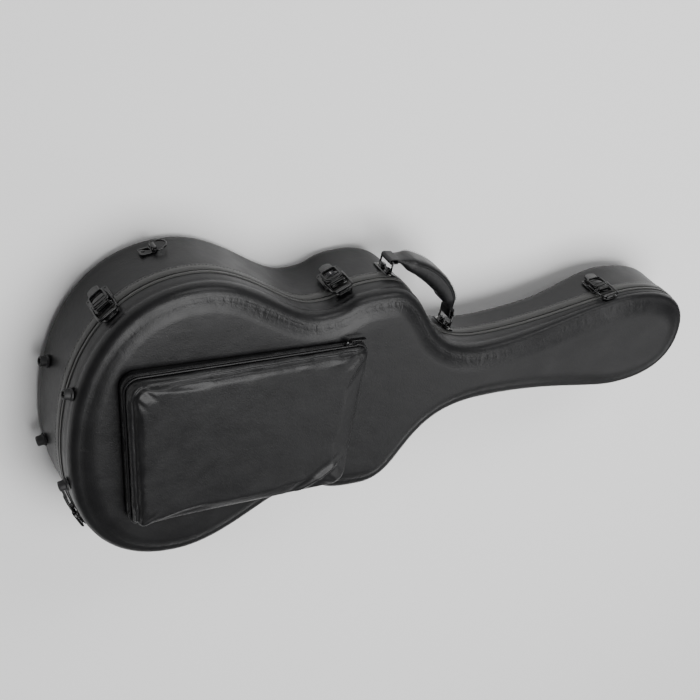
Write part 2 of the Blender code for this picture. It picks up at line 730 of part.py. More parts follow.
ZIP_START, ZIP_RUN, _, ZIP_LENGTH, _ = zip_corner(0.0)
ZIP_SLOPE = math.atan2(POCKET_ZIP[0] - POCKET_ZIP[1], POCKET[1][0] - POCKET[0][0])
slider_spot = ZIP_START + ZIP_RUN * (ZIP_LENGTH - 0.034)
ZIP_TURN = math.atan2(ZIP_RUN.y, ZIP_RUN.x)
SLIDER_FRAME = (Matrix.Translation((slider_spot.x, slider_spot.y, zip_height(0.0)(slider_spot.x)))
                @ Matrix.Rotation(ZIP_TURN, 4, "Z") @ Matrix.Rotation(ZIP_SLOPE, 4, "Y"))
slider = prism("zipper_slider", rounded(0.012, 0.0034, 0.0012, (0.0, 0.0)), -0.0015, 0.0035, BLACK_METAL)
bridge = prism("bridge", rounded(0.004, 0.0020, 0.0008, (-0.002, 0.0)), 0.0030, 0.0060, BLACK_METAL)
put(combine(slider, [bridge], "UNION"), SLIDER_FRAME)
pull = prism("zipper_pull", rounded(0.026, 0.0070, 0.0030, (0.014, 0.0)), -0.0008, 0.0008, BLACK_METAL)
put(pull, SLIDER_FRAME @ Matrix.Translation((0.0, 0.0075, 0.0)))
carry(pull, slider)


# ---------------------------------------------------------------- inside: neck rest and box
FLOOR = SEAM - NECK_DEPTH + SKIN + LINING + GAP
NECK_REST = [(0.029, FLOOR + 0.001), (0.038, FLOOR + 0.012), (0.038, 0.094), (0.030, 0.094),
             (0.022, 0.074)]
prism("neck_cradle", NECK_REST + [(-y, z) for y, z in reversed(NECK_REST)], *CRADLE_X, PLUSH, "X")
box = prism("accessory_box", [(BOX_X[0], -BOX_HALF), (BOX_X[1], -BOX_HALF), (BOX_X[1], BOX_HALF),
                              (BOX_X[0], BOX_HALF)], FLOOR, BOX_TOP, PLUSH, "Z")
hollow = prism("hollow", [(BOX_X[0] + BOX_WALL, BOX_WALL - BOX_HALF),
                          (BOX_X[1] - BOX_WALL, BOX_WALL - BOX_HALF),
                          (BOX_X[1] - BOX_WALL, BOX_HALF - BOX_WALL),
                          (BOX_X[0] + BOX_WALL, BOX_HALF - BOX_WALL)],
               FLOOR + BOX_WALL, 0.1, PLUSH, "Z")
combine(box, [hollow], "DIFFERENCE")
BOX_LENGTH = BOX_X[1] - BOX_X[0]
FLAP = 2 * BOX_HALF - 0.006
BOX_HINGE = Matrix.Translation(((BOX_X[0] + BOX_X[1]) / 2, FLAP - BOX_HALF, BOX_TOP + GAP))
flap = prism("accessory_lid", rounded(BOX_LENGTH, FLAP, 0.002, (0.0, -FLAP / 2)), 0.0, 0.0027,
             PLUSH, "Z")
put(flap, BOX_HINGE)
tab = prism("accessory_pull_tab", rounded(0.016, 0.014, 0.004, (0.0, 0.008 - FLAP)), 0.0030, 0.0042,
            LEATHERETTE, "Z")
put(tab, BOX_HINGE)
carry(tab, flap)


# ---------------------------------------------------------------- what the lid carries
LID_AXIS = bpy.data.objects.new("lid_hinge_axis", None)
bpy.context.collection.objects.link(LID_AXIS)
LID_AXIS.matrix_world = hinge_frame(WIDE_TOUCH)
for obj in list(bpy.data.objects):
    on_lid = obj.name.startswith(("lid_", "latch_keeper", "hinge_lid", "foot_lid", "pocket", "zipper"))
    if on_lid and obj.parent is None and obj is not LID_AXIS:
        carry(obj, LID_AXIS)
for obj in list(bpy.data.objects):
    if obj.parent is None:
        obj.location.x -= ORIGIN_X
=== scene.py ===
"""Hard-shell classical guitar case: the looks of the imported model, built piece by piece.

Frame: +X from tail to head, +Y the handle side, +Z up from the flat back. Metres.
"""
import json
import math

import bmesh
import bpy
import numpy as np
from mathutils import Matrix, Vector, noise


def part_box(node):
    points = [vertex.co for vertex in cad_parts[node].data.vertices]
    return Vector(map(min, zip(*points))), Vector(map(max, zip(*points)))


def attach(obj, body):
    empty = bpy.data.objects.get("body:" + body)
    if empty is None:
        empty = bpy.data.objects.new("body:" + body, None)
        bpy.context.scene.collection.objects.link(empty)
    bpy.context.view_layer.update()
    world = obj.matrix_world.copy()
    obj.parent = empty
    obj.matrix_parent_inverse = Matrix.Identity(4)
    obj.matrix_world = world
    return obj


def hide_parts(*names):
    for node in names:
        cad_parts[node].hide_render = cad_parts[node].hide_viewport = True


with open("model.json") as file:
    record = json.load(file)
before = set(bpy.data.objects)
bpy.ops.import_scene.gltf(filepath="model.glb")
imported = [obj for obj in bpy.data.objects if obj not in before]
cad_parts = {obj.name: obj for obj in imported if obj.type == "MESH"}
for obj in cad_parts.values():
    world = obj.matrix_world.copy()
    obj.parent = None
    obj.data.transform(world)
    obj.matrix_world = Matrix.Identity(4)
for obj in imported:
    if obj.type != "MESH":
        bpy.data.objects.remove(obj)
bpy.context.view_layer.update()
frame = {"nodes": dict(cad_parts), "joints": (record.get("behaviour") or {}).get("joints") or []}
NODES = frame["nodes"]
JOINTS = {joint["name"]: joint for joint in frame["joints"]}


# ------------------------------------------------------------------ camera, floor and lights
# The case lies on its back and is looked at over its handle side and tail, with the lid's face
# towards the camera. Floor and walls of the studio are white; the light is a large soft box on
# the handle side, another beyond the head, a large one overhead and a dim white room.
CAMERA_AT = Vector((-0.721, 1.180, 1.594))
CAMERA_RIGHT = Vector((0.877, 0.142, 0.459)).normalized()
CAMERA_UP = Vector((0.1455, 0.832, -0.535)).normalized()
CAMERA_LENS = 73.1               # millimetres on a 36 mm wide sensor

back = CAMERA_RIGHT.cross(CAMERA_UP).normalized()
up = back.cross(CAMERA_RIGHT)
camera_data = bpy.data.cameras.new("camera")
camera_data.lens = CAMERA_LENS
camera_data.sensor_width = 36.0
camera_data.clip_end = 50.0
camera = bpy.data.objects.new("camera", camera_data)
turn = Matrix((CAMERA_RIGHT, up, back)).transposed()
camera.matrix_world = Matrix.Translation(CAMERA_AT) @ turn.to_4x4()
bpy.context.scene.collection.objects.link(camera)
bpy.context.scene.camera = camera


def linear(hex_text, alpha=1.0):
    """Linear RGBA of an sRGB colour written as six hex digits."""
    parts = [int(hex_text[k:k + 2], 16) / 255 for k in (0, 2, 4)]
    return (*[c / 12.92 if c <= 0.04045 else ((c + 0.055) / 1.055) ** 2.4 for c in parts], alpha)


def add(tree, kind, inputs=None, **settings):
    """Add a node to a tree, set its properties, then its inputs from values or sockets."""
    made = tree.nodes.new(kind)
    for key, value in settings.items():
        setattr(made, key, value)
    for key, value in (inputs or {}).items():
        if isinstance(value, bpy.types.NodeSocket):
            tree.links.new(value, made.inputs[key])
        else:
            made.inputs[key].default_value = value
    return made


def new_finish(name, hex_colour, roughness, **sockets):
    """A material with its shader set: the tree, and the shader for its patterns."""
    made = bpy.data.materials.new(name)
    made.use_nodes = True
    shader = made.node_tree.nodes["Principled BSDF"]
    shader.inputs["Base Color"].default_value = linear(hex_colour)
    shader.inputs["Roughness"].default_value = roughness
    for key, value in sockets.items():
        shader.inputs[key.replace("_", " ")].default_value = value
    return made, made.node_tree, shader


# Matt white studio paper: even, with the faintest mottle.
PAPER, tree, shader = new_finish("white_studio_paper", "F4F4F4", 0.9)
spots = add(tree, "ShaderNodeTexNoise", {"Scale": 3.0, "Detail": 2.0})
tint = add(tree, "ShaderNodeMapRange", {"Value": spots.outputs["Fac"], "To Min": 0.90, "To Max": 0.93})
tree.links.new(tint.outputs[0], shader.inputs["Base Color"])

bm = bmesh.new()
bmesh.ops.create_grid(bm, x_segments=1, y_segments=1, size=9.0)
floor_mesh = bpy.data.meshes.new("studio_floor")
bm.to_mesh(floor_mesh)
bm.free()
floor_mesh.materials.append(PAPER)
floor = bpy.data.objects.new("studio_floor", floor_mesh)
bpy.context.scene.collection.objects.link(floor)

world = bpy.data.worlds.new("studio_room")
world.use_nodes = True
world.node_tree.nodes["Background"].inputs["Color"].default_value = linear("FFFFFF")
world.node_tree.nodes["Background"].inputs["Strength"].default_value = 0.16
bpy.context.scene.world = world


def soft_box(name, at, look_at, width, height, watts):
    """Rectangular soft box at a place, turned to a point."""
    light = bpy.data.lights.new(name, "AREA")
    light.shape = "RECTANGLE"
    light.size = width
    light.size_y = height
    light.energy = watts
    lamp = bpy.data.objects.new(name, light)
    run = Vector(look_at) - Vector(at)
    lamp.matrix_world = Matrix.Translation(at) @ run.to_track_quat("-Z", "Y").to_matrix().to_4x4()
    bpy.context.scene.collection.objects.link(lamp)


soft_box("soft_box_overhead", (0.8, 0.0, 3.4), (0.4, 0.0, 0.0), 2.8, 3.0, 170.0)
soft_box("soft_box_handle_side", (1.4, 2.7, 1.9), (0.45, 0.0, 0.05), 2.2, 0.9, 38.0)
soft_box("soft_box_beyond_head", (3.3, -2.3, 2.6), (0.5, 0.0, 0.05), 2.0, 2.0, 19.0)


# ------------------------------------------------------------------ base shell
# Bent plywood sides with a flat back glued to them, covered in one skin of embossed black
# leatherette that is stretched wet over the edges, so the grain lies flatter on the corners.
# The plan is the same rule of six joined curves on each side that the solid was cut to.
TAIL_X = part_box("base_shell")[0].x
CASE_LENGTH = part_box("base_shell")[1].x - TAIL_X
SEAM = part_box("rim_gasket")[1].z
LOWER_BOUT = (0.172, 0.228)      # distance from the tail, half width
WAIST = (0.361, 0.154)
UPPER_BOUT = (0.470, 0.175)
NECK = (0.664, 0.050)
HEAD = (0.950, 0.087)
BODY_DEPTH, NECK_DEPTH, HEAD_DEPTH = SEAM, 0.064, 0.088
BACK_RISE, BACK_FALL = (0.451, 0.605), (0.780, 0.950)
BACK_RADIUS = 0.018
SHELL = 0.005
SIDE_STEPS = 240


def plan(steps):
    """Closed outline from the tail round the handle side: points and outward normals."""
    tail, end = Vector((0.0, 0.0)), Vector((CASE_LENGTH, 0.0))
    lower, waist, upper, neck, head = map(Vector, (LOWER_BOUT, WAIST, UPPER_BOUT, NECK, HEAD))
    spans = (
        (tail, Vector((0.0, 0.60 * lower.y)), Vector((0.36 * lower.x, lower.y)), lower),
        (lower, lower + Vector((0.082, 0.0)), waist - Vector((0.050, 0.0)), waist),
        (waist, waist + Vector((0.058, 0.0)), upper - Vector((0.086, 0.0)), upper),
        (upper, upper + Vector((0.084, 0.0)), neck - Vector((0.139, 0.0)), neck),
        (neck, neck + Vector((0.111, 0.0)), head - Vector((0.062, 0.0)), head),
        (head, head + Vector((0.036, 0.0)), end + Vector((0.0, 0.92 * head.y)), end),
    )
    dense = []
    for a, b, c, d in spans:
        for t in np.linspace(0.0, 1.0, 200, endpoint=False):
            u = 1.0 - t
            dense.append(a * u ** 3 + b * (3 * u * u * t) + c * (3 * u * t * t) + d * t ** 3)
    dense = np.array([(p.x, p.y) for p in dense + [end]])
    run = np.concatenate(([0.0], np.cumsum(np.hypot(*np.diff(dense, axis=0).T))))
    want = np.linspace(0.0, run[-1], steps + 1)
    half = np.stack([np.interp(want, run, dense[:, k]) for k in (0, 1)], axis=1)
    loop = np.concatenate((half, half[-2:0:-1] * (1.0, -1.0)))
    along = np.roll(loop, -1, axis=0) - np.roll(loop, 1, axis=0)
    normal = np.stack((-along[:, 1], along[:, 0]), axis=1)
    return loop, normal / np.linalg.norm(normal, axis=1)[:, None]


LOOP, NORMALS = plan(SIDE_STEPS)
COUNT = len(LOOP)
ALONG = LOOP[:, 0]               # each outline point's distance from the tail


def eased(x, span):
    t = np.clip((x - span[0]) / (span[1] - span[0]), 0.0, 1.0)
    return t * t * (3.0 - 2.0 * t)


def ring(inset, height):
    """One ring of points: the plan moved inwards, at a height; both may vary along it."""
    flat = LOOP - NORMALS * np.broadcast_to(inset, COUNT)[:, None]
    return np.column_stack((flat[:, 0] + TAIL_X, flat[:, 1], np.broadcast_to(height, COUNT)))


def tray(name, outer, inner, crossings=14):
    """Closed tray mesh between two stacks of rings, with each floor filled straight across."""
    bm = bmesh.new()
    skins = [[[bm.verts.new(v) for v in row] for row in rows] for rows in (outer, inner)]
    for rows in skins:
        for low, high in zip(rows, rows[1:]):
            for k in range(COUNT):
                n = (k + 1) % COUNT
                bm.faces.new((low[k], low[n], high[n], high[k]))
        last = rows[-1]
        lines = []
        for k in range(SIDE_STEPS + 1):
            near, far = last[k], last[-k % COUNT]
            if near is far:
                lines.append([near] * (crossings + 1))
                continue
            between = [bm.verts.new(near.co.lerp(far.co, s / crossings)) for s in range(1, crossings)]
            lines.append([near] + between + [far])
        for a, b in zip(lines, lines[1:]):
            for s in range(crossings):
                corners = list(dict.fromkeys((a[s], b[s], b[s + 1], a[s + 1])))
                if len(corners) > 2:
                    bm.faces.new(corners)
    for k in range(COUNT):
        n = (k + 1) % COUNT
        bm.faces.new((skins[0][0][k], skins[0][0][n], skins[1][0][n], skins[1][0][k]))
    return to_piece(name, bm)


def to_piece(name, bm, *finishes, smooth_angle=35):
    """Turn a bmesh into an object of the scene, outward faces and smooth shading."""
    bmesh.ops.recalc_face_normals(bm, faces=bm.faces)
    mesh = bpy.data.meshes.new(name)
    bm.to_mesh(mesh)
    bm.free()
    mesh.shade_smooth()
    mesh.set_sharp_from_angle(angle=math.radians(smooth_angle))
    for finish in finishes:
        mesh.materials.append(finish)
    piece = bpy.data.objects.new(name, mesh)
    bpy.context.scene.collection.objects.link(piece)
    return piece


def stand_for(piece, body, slot, *nodes):
    """Carry a finished piece on a body, in place of CAD nodes."""
    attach(piece, body)
    if nodes:
        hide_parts(*nodes)


def leatherette(name, hex_colour, roughness, grain_mm, grain_depth, crease_depth=0.0):
    """PVC leatherette, calendered: a pebbled grain pressed into a thin, slightly glossy film.

    Grain is the pebble spacing in millimetres, drawn larger than the real 0.8 mm so that it
    still shows. The attribute creases, where a mesh has it, puts short stretch creases there,
    lying across the attribute run, which is the distance along the crease's ridge in metres.
    """
    made, tree, shader = new_finish(name, hex_colour, roughness, Specular_IOR_Level=0.30)
    place = add(tree, "ShaderNodeTexCoord").outputs["Object"]
    pebbles = add(tree, "ShaderNodeTexVoronoi", {"Vector": place, "Scale": 1000.0 / grain_mm,
                                                 "Randomness": 0.9}, feature="SMOOTH_F1")
    press = add(tree, "ShaderNodeTexNoise", {"Vector": place, "Scale": 1000.0 / 38.0,
                                             "Detail": 4.0, "Roughness": 0.6})
    sheen = add(tree, "ShaderNodeMapRange", {"Value": press.outputs["Fac"], "From Min": 0.3,
                                             "From Max": 0.7, "To Min": roughness - 0.05,
                                             "To Max": roughness + 0.07})
    tree.links.new(sheen.outputs[0], shader.inputs["Roughness"])
    dust = add(tree, "ShaderNodeMix", {"Factor": press.outputs["Fac"], 6: linear(hex_colour),
                                       7: tuple(min(1.0, c * 1.45) for c in linear(hex_colour))},
               data_type="RGBA")
    tree.links.new(dust.outputs[2], shader.inputs["Base Color"])
    fine = add(tree, "ShaderNodeBump", {"Strength": 0.35, "Distance": grain_depth,
                                        "Height": pebbles.outputs["Distance"]})
    swell = add(tree, "ShaderNodeBump", {"Strength": 0.5, "Distance": 0.0016,
                                         "Height": press.outputs["Fac"],
                                         "Normal": fine.outputs["Normal"]})
    last = swell
    if crease_depth:
        where = add(tree, "ShaderNodeAttribute", attribute_name="creases")
        run = add(tree, "ShaderNodeAttribute", attribute_name="run")
        across = add(tree, "ShaderNodeMath", {0: where.outputs["Fac"], 1: 0.012}, operation="MULTIPLY")
        spread = add(tree, "ShaderNodeCombineXYZ", {0: run.outputs["Fac"], 1: across.outputs[0]})
        bent = add(tree, "ShaderNodeTexNoise", {"Vector": spread.outputs[0], "Scale": 1000.0 / 9.0,
                                                "Detail": 3.0, "Roughness": 0.5, "Distortion": 0.6})
        height = add(tree, "ShaderNodeMath", {0: bent.outputs["Fac"], 1: where.outputs["Fac"]},
                     operation="MULTIPLY")
        last = add(tree, "ShaderNodeBump", {"Strength": 1.0, "Distance": crease_depth,
                                            "Height": height.outputs[0],
                                            "Normal": swell.outputs["Normal"]})
    tree.links.new(last.outputs["Normal"], shader.inputs["Normal"])
    return made


def mark(piece, name, values):
    """Store one number for each point of a piece, for its material."""
    made = piece.data.attributes.new(name, "FLOAT", "POINT")
    made.data.foreach_set("value", np.asarray(values, np.float32))


SHELL_LEATHERETTE = leatherette("embossed_black_leatherette", "121213", 0.38, 1.7, 0.0004, 0.0013)


def base_depth(x):
    waisted = BODY_DEPTH + (NECK_DEPTH - BODY_DEPTH) * eased(x, BACK_RISE)
    return waisted + (HEAD_DEPTH - NECK_DEPTH) * eased(x, BACK_FALL)


def base_rings(inset, rim, bends):
    """Rings down the base's wall and round its bottom edge at a depth under its skin."""
    radius = BACK_RADIUS - inset
    bottom = SEAM - base_depth(ALONG)
    walls = [ring(inset, rim + (bottom + BACK_RADIUS - rim) * t) for t in (0.0, 0.02, 0.5, 0.96)]
    for angle in np.radians(np.linspace(0.0, 90.0, bends)):
        side = inset + radius * (1.0 - math.cos(angle))
        walls.append(ring(side, bottom + inset + radius * (1.0 - math.sin(angle))))
    return walls


BASE_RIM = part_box("base_shell")[1].z
base_skin = tray("base_shell_skin", base_rings(0.0, BASE_RIM, 8), base_rings(SHELL, BASE_RIM, 4))
base_skin.data.materials.append(SHELL_LEATHERETTE)
stand_for(base_skin, "base", "leatherette", "base_shell")


# ------------------------------------------------------------------ lid shell
# The same plywood and leatherette as the base. Its wall ends in a shallow valley where the
# skin is pulled down, then a full rounded shoulder whose skin is creased by the stretching,
# then a face that is crowned a few millimetres.
LID_WALL, LID_WALL_HEAD = 0.043, 0.024
LID_RADIUS, LID_RADIUS_HEAD = 0.016, 0.009
LID_FALL = (0.620, 0.900)
LID_CROWN, CROWN_REACH = 0.0075, 0.038
VALLEY = 0.0011

LID_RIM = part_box("lid_shell")[0].z
lid_top = SEAM + LID_WALL + (LID_WALL_HEAD - LID_WALL) * eased(ALONG, LID_FALL)
lid_bend = LID_RADIUS + (LID_RADIUS_HEAD - LID_RADIUS) * eased(ALONG, LID_FALL)


def lid_rings(inset, bends, valley=0.0):
    """Rings up the lid's wall, round its shoulder and in to where the crown levels out."""
    shoulder = lid_top - lid_bend
    rows = []
    for t in (0.0, 0.03, 0.35, 0.62, 0.74, 0.84, 0.93):
        dip = valley * math.exp(-((t - 0.84) / 0.11) ** 2)
        rows.append(ring(inset + dip, LID_RIM + (shoulder - LID_RIM) * t))
    for angle in np.radians(np.linspace(0.0, 90.0, bends)):
        swell = -0.25 * valley * math.sin(2 * angle)
        side = inset + (lid_bend - inset) * (1.0 - math.cos(angle))
        drop = inset + (lid_bend - inset) * (1.0 - math.sin(angle))
        rows.append(ring(side + swell, lid_top - drop - swell))
    for t in (0.2, 0.4, 0.6, 0.8, 1.0):
        rise = LID_CROWN * math.sin(t * math.pi / 2)
        rows.append(ring(lid_bend + (CROWN_REACH - lid_bend) * t, lid_top - inset + rise))
    return rows


rows = lid_rings(0.0, 10, VALLEY)
lid_skin = tray("lid_shell_skin", rows, lid_rings(SHELL, 4))
lid_skin.data.materials.append(SHELL_LEATHERETTE)
fade = 0.25 + 0.75 * eased(ALONG, (0.02, 0.20)) * (1.0 - 0.75 * eased(ALONG, (0.52, 0.75)))
amount = np.zeros(len(lid_skin.data.vertices))
for number in range(len(rows)):
    strength = math.exp(-((number - 16.4) / 1.6) ** 2)
    amount[number * COUNT:(number + 1) * COUNT] = strength * fade
mark(lid_skin, "creases", amount)
RUN = np.concatenate(([0.0], np.cumsum(np.linalg.norm(np.diff(LOOP, axis=0), axis=1))))
mark(lid_skin, "run", RUN[np.arange(len(amount)) % COUNT])
stand_for(lid_skin, "lid", "leatherette", "lid_shell")


# ------------------------------------------------------------------ rim band, bead and gasket
# A folded strip of smoother leatherette is glued and stitched round the base's rim, a narrow
# bead of the same finishes the lid's rim, and a black rubber gasket lies between the two.
BAND_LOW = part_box("base_rim_band")[0].z
BEAD_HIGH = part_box("lid_rim_bead")[1].z
TRIM = 0.0014
STRIP_LEATHERETTE = leatherette("smooth_edge_strip_leatherette", "353534", 0.36, 1.3, 0.0002)
GASKET_RUBBER, tree, shader = new_finish("extruded_gasket_rubber", "070707", 0.55)
place = add(tree, "ShaderNodeTexCoord").outputs["Object"]
skin = add(tree, "ShaderNodeTexNoise", {"Vector": place, "Scale": 900.0, "Detail": 2.0})
press = add(tree, "ShaderNodeBump", {"Strength": 0.3, "Distance": 0.0002, "Height": skin.outputs["Fac"]})
tree.links.new(press.outputs["Normal"], shader.inputs["Normal"])


def hoop(name, corners, finish):
    """Closed strip round the case through (distance out, height) corners."""
    bm = bmesh.new()
    rows = [[bm.verts.new(v) for v in ring(-out, z)] for out, z in corners]
    for number, low in enumerate(rows):
        high = rows[(number + 1) % len(rows)]
        for k in range(COUNT):
            n = (k + 1) % COUNT
            bm.faces.new((low[k], low[n], high[n], high[k]))
    return to_piece(name, bm, finish, smooth_angle=50)


soft = 0.0005
band = hoop("rim_band", [(0.0001, BAND_LOW), (TRIM - soft, BAND_LOW), (TRIM, BAND_LOW + soft),
                         (TRIM + 0.0001, (BAND_LOW + BASE_RIM) / 2), (TRIM, BASE_RIM - soft),
                         (TRIM - soft, BASE_RIM), (0.0001, BASE_RIM)], STRIP_LEATHERETTE)
stand_for(band, "base", "edge_strip", "base_rim_band")
gasket = hoop("rim_gasket_rubber", [(-SHELL + 0.0006, BASE_RIM + 0.0004), (-0.0002, BASE_RIM + 0.0004),
                                    (0.0002, SEAM - 0.0008), (-0.0002, SEAM - 0.0001),
                                    (-SHELL + 0.0006, SEAM - 0.0001)], GASKET_RUBBER)
stand_for(gasket, "base", "gasket_rubber", "rim_gasket")
bead = hoop("lid_bead", [(0.0001, LID_RIM), (TRIM - soft, LID_RIM), (TRIM, LID_RIM + soft),
                         (TRIM, BEAD_HIGH - soft), (TRIM - soft, BEAD_HIGH), (0.0001, BEAD_HIGH)],
            STRIP_LEATHERETTE)
stand_for(bead, "lid", "edge_strip", "lid_rim_bead")


def new_tree(name, **sizes):
    """An empty geometry tree with a Geometry socket and one named input for each size."""
    tree = bpy.data.node_groups.new(name, "GeometryNodeTree")
    tree.interface.new_socket("Geometry", in_out="INPUT", socket_type="NodeSocketGeometry")
    for key, value in sizes.items():
        tree.interface.new_socket(key, in_out="INPUT", socket_type="NodeSocketFloat").default_value = value
    tree.interface.new_socket("Finish", in_out="INPUT", socket_type="NodeSocketMaterial")
    tree.interface.new_socket("Geometry", in_out="OUTPUT", socket_type="NodeSocketGeometry")
    return tree, add(tree, "NodeGroupInput")


def close_tree(tree, given, last):
    """Realize what the tree made, give it its finish and end the tree."""
    real = add(tree, "GeometryNodeRealizeInstances", {"Geometry": last})
    smooth = add(tree, "GeometryNodeSetShadeSmooth", {"Geometry": real.outputs[0]})
    dressed = add(tree, "GeometryNodeSetMaterial", {"Geometry": smooth.outputs[0],
                                                    "Material": given.outputs["Finish"]})
    add(tree, "NodeGroupOutput", {"Geometry": dressed.outputs[0]})
    return tree


def freeze(piece, step):
    """Keep what a modifier makes as the piece's own mesh, without the modifier."""
    depsgraph = bpy.context.evaluated_depsgraph_get()
    mesh = bpy.data.meshes.new_from_object(piece.evaluated_get(depsgraph))
    piece.modifiers.remove(step)
    piece.data = mesh


def grow(name, tree, finish, lines, closed=False, facing=None, **sizes):
    """Run a tree on lines of points and keep the result as a plain mesh object."""
    mesh = bpy.data.meshes.new(name)
    points, edges = [], []
    for line in lines:
        first = len(points)
        points += [tuple(p) for p in line]
        edges += [(k, k + 1) for k in range(first, len(points) - 1)]
        if closed:
            edges.append((len(points) - 1, first))
    mesh.from_pydata(points, [] if facing else edges, [])
    if facing:
        made = mesh.attributes.new("facing", "FLOAT_VECTOR", "POINT")
        made.data.foreach_set("vector", np.array(facing, np.float32).ravel())
    seed = bpy.data.objects.new(name, mesh)
    bpy.context.scene.collection.objects.link(seed)
    step = seed.modifiers.new("grow", "NODES")
    step.node_group = tree
    for socket in tree.interface.items_tree:
        if socket.in_out == "INPUT" and socket.name in sizes:
            step[socket.identifier] = float(sizes[socket.name])
        elif socket.in_out == "INPUT" and socket.name == "Finish":
            step[socket.identifier] = finish
    bpy.context.view_layer.update()
    freeze(seed, step)
    return seed


# Row of stitches: short thread capsules laid nose to tail along each line.
STITCHES, given = new_tree("row_of_stitches", Spacing=0.004, Length=0.0026, Thread=0.00035)
line = add(STITCHES, "GeometryNodeMeshToCurve", {"Mesh": given.outputs["Geometry"]})
spots = add(STITCHES, "GeometryNodeResampleCurve", {"Curve": line.outputs[0],
                                                    "Length": given.outputs["Spacing"]}, mode="LENGTH")
way = add(STITCHES, "GeometryNodeInputTangent")
turned = add(STITCHES, "FunctionNodeAlignRotationToVector", {"Vector": way.outputs[0]}, axis="X")
thread = add(STITCHES, "GeometryNodeMeshUVSphere", {"Segments": 6, "Rings": 5, "Radius": 1.0})
half = add(STITCHES, "ShaderNodeMath", {0: given.outputs["Length"], 1: 0.5}, operation="MULTIPLY")
shape = add(STITCHES, "ShaderNodeCombineXYZ", {0: half.outputs[0], 1: given.outputs["Thread"],
                                               2: given.outputs["Thread"]})
laid = add(STITCHES, "GeometryNodeInstanceOnPoints", {"Points": spots.outputs[0],
                                                      "Instance": thread.outputs[0],
                                                      "Rotation": turned.outputs[0],
                                                      "Scale": shape.outputs[0]})
close_tree(STITCHES, given, laid.outputs[0])

# Bonded nylon thread: a slight twist gives each stitch a broken glint.
THREAD, tree, shader = new_finish("bonded_nylon_thread", "2E2E30", 0.5)
place = add(tree, "ShaderNodeTexCoord").outputs["Object"]
twist = add(tree, "ShaderNodeTexWave", {"Vector": place, "Scale": 900.0, "Distortion": 1.0})
press = add(tree, "ShaderNodeBump", {"Strength": 0.4, "Distance": 0.0002, "Height": twist.outputs["Fac"]})
tree.links.new(press.outputs["Normal"], shader.inputs["Normal"])

rows = [ring(-TRIM - 0.0001, BAND_LOW + 0.0022), ring(-TRIM - 0.0001, BASE_RIM - 0.0022)]
seams = grow("rim_band_stitches", STITCHES, THREAD, rows, closed=True, Spacing=0.0055, Length=0.0036,
             Thread=0.00032)
stand_for(seams, "base", "edge_strip")


# ------------------------------------------------------------------ plush linings
# Short-pile black plush over thin foam, glued into the base and the lid and stopped a few
# millimetres short of the rims.
PLUSH, tree, shader = new_finish("black_nylon_plush", "0C0C0E", 0.95, Sheen_Weight=0.25,
                                 Sheen_Roughness=0.5)
place = add(tree, "ShaderNodeTexCoord").outputs["Object"]
pile = add(tree, "ShaderNodeTexNoise", {"Vector": place, "Scale": 700.0, "Detail": 3.0})
lay = add(tree, "ShaderNodeTexNoise", {"Vector": place, "Scale": 28.0, "Detail": 3.0})
shade = add(tree, "ShaderNodeMix", {"Factor": lay.outputs["Fac"], 6: linear("08080A"), 7: linear("1B1B1F")},
            data_type="RGBA")
tree.links.new(shade.outputs[2], shader.inputs["Base Color"])
press = add(tree, "ShaderNodeBump", {"Strength": 0.8, "Distance": 0.0008, "Height": pile.outputs["Fac"]})
tree.links.new(press.outputs["Normal"], shader.inputs["Normal"])

PLUSH_UNDER, PLUSH_THICK = SHELL + 0.0004, 0.0028
BASE_EDGE, LID_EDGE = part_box("base_lining")[1].z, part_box("lid_lining")[0].z
base_plush = tray("base_plush", base_rings(PLUSH_UNDER, BASE_EDGE, 5),
                  base_rings(PLUSH_UNDER + PLUSH_THICK, BASE_EDGE, 5))
base_plush.data.materials.append(PLUSH)
stand_for(base_plush, "base", "plush", "base_lining")


def plain_lid_rings(inset, bends):
    """The lid's rings at a depth under its skin, starting from the lining's edge."""
    shoulder = lid_top - lid_bend
    rows = [ring(inset, LID_EDGE + (shoulder - LID_EDGE) * t) for t in (0.0, 0.5, 0.95)]
    for angle in np.radians(np.linspace(0.0, 90.0, bends)):
        side = inset + (lid_bend - inset) * (1.0 - math.cos(angle))
        rows.append(ring(side, lid_top - inset - (lid_bend - inset) * (1.0 - math.sin(angle))))
    rows.append(ring(CROWN_REACH, lid_top - inset + LID_CROWN))
    return rows


lid_plush = tray("lid_plush", plain_lid_rings(PLUSH_UNDER, 5),
                 plain_lid_rings(PLUSH_UNDER + PLUSH_THICK, 5))
lid_plush.data.materials.append(PLUSH)
stand_for(lid_plush, "lid", "plush", "lid_lining")


# ------------------------------------------------------------------ neck rest and accessory box
# A foam block with a notch for the neck, and a small plywood box with a flap, all covered in
# the same plush; the flap lifts by a leatherette tab.
def softened(name, node, finish, radius, rounds=3):
    """Copy a CAD node, weld it and round its edges."""
    bm = bmesh.new()
    bm.from_mesh(NODES[node].data)
    bmesh.ops.remove_doubles(bm, verts=bm.verts, dist=1e-6)
    bmesh.ops.dissolve_limit(bm, angle_limit=math.radians(1), verts=bm.verts, edges=bm.edges)
    sharp = [e for e in bm.edges if len(e.link_faces) == 2 and e.calc_face_angle(0) > math.radians(25)]
    bmesh.ops.bevel(bm, geom=sharp, offset=radius, segments=rounds, affect="EDGES", clamp_overlap=True)
    return to_piece(name, bm, finish, smooth_angle=50)


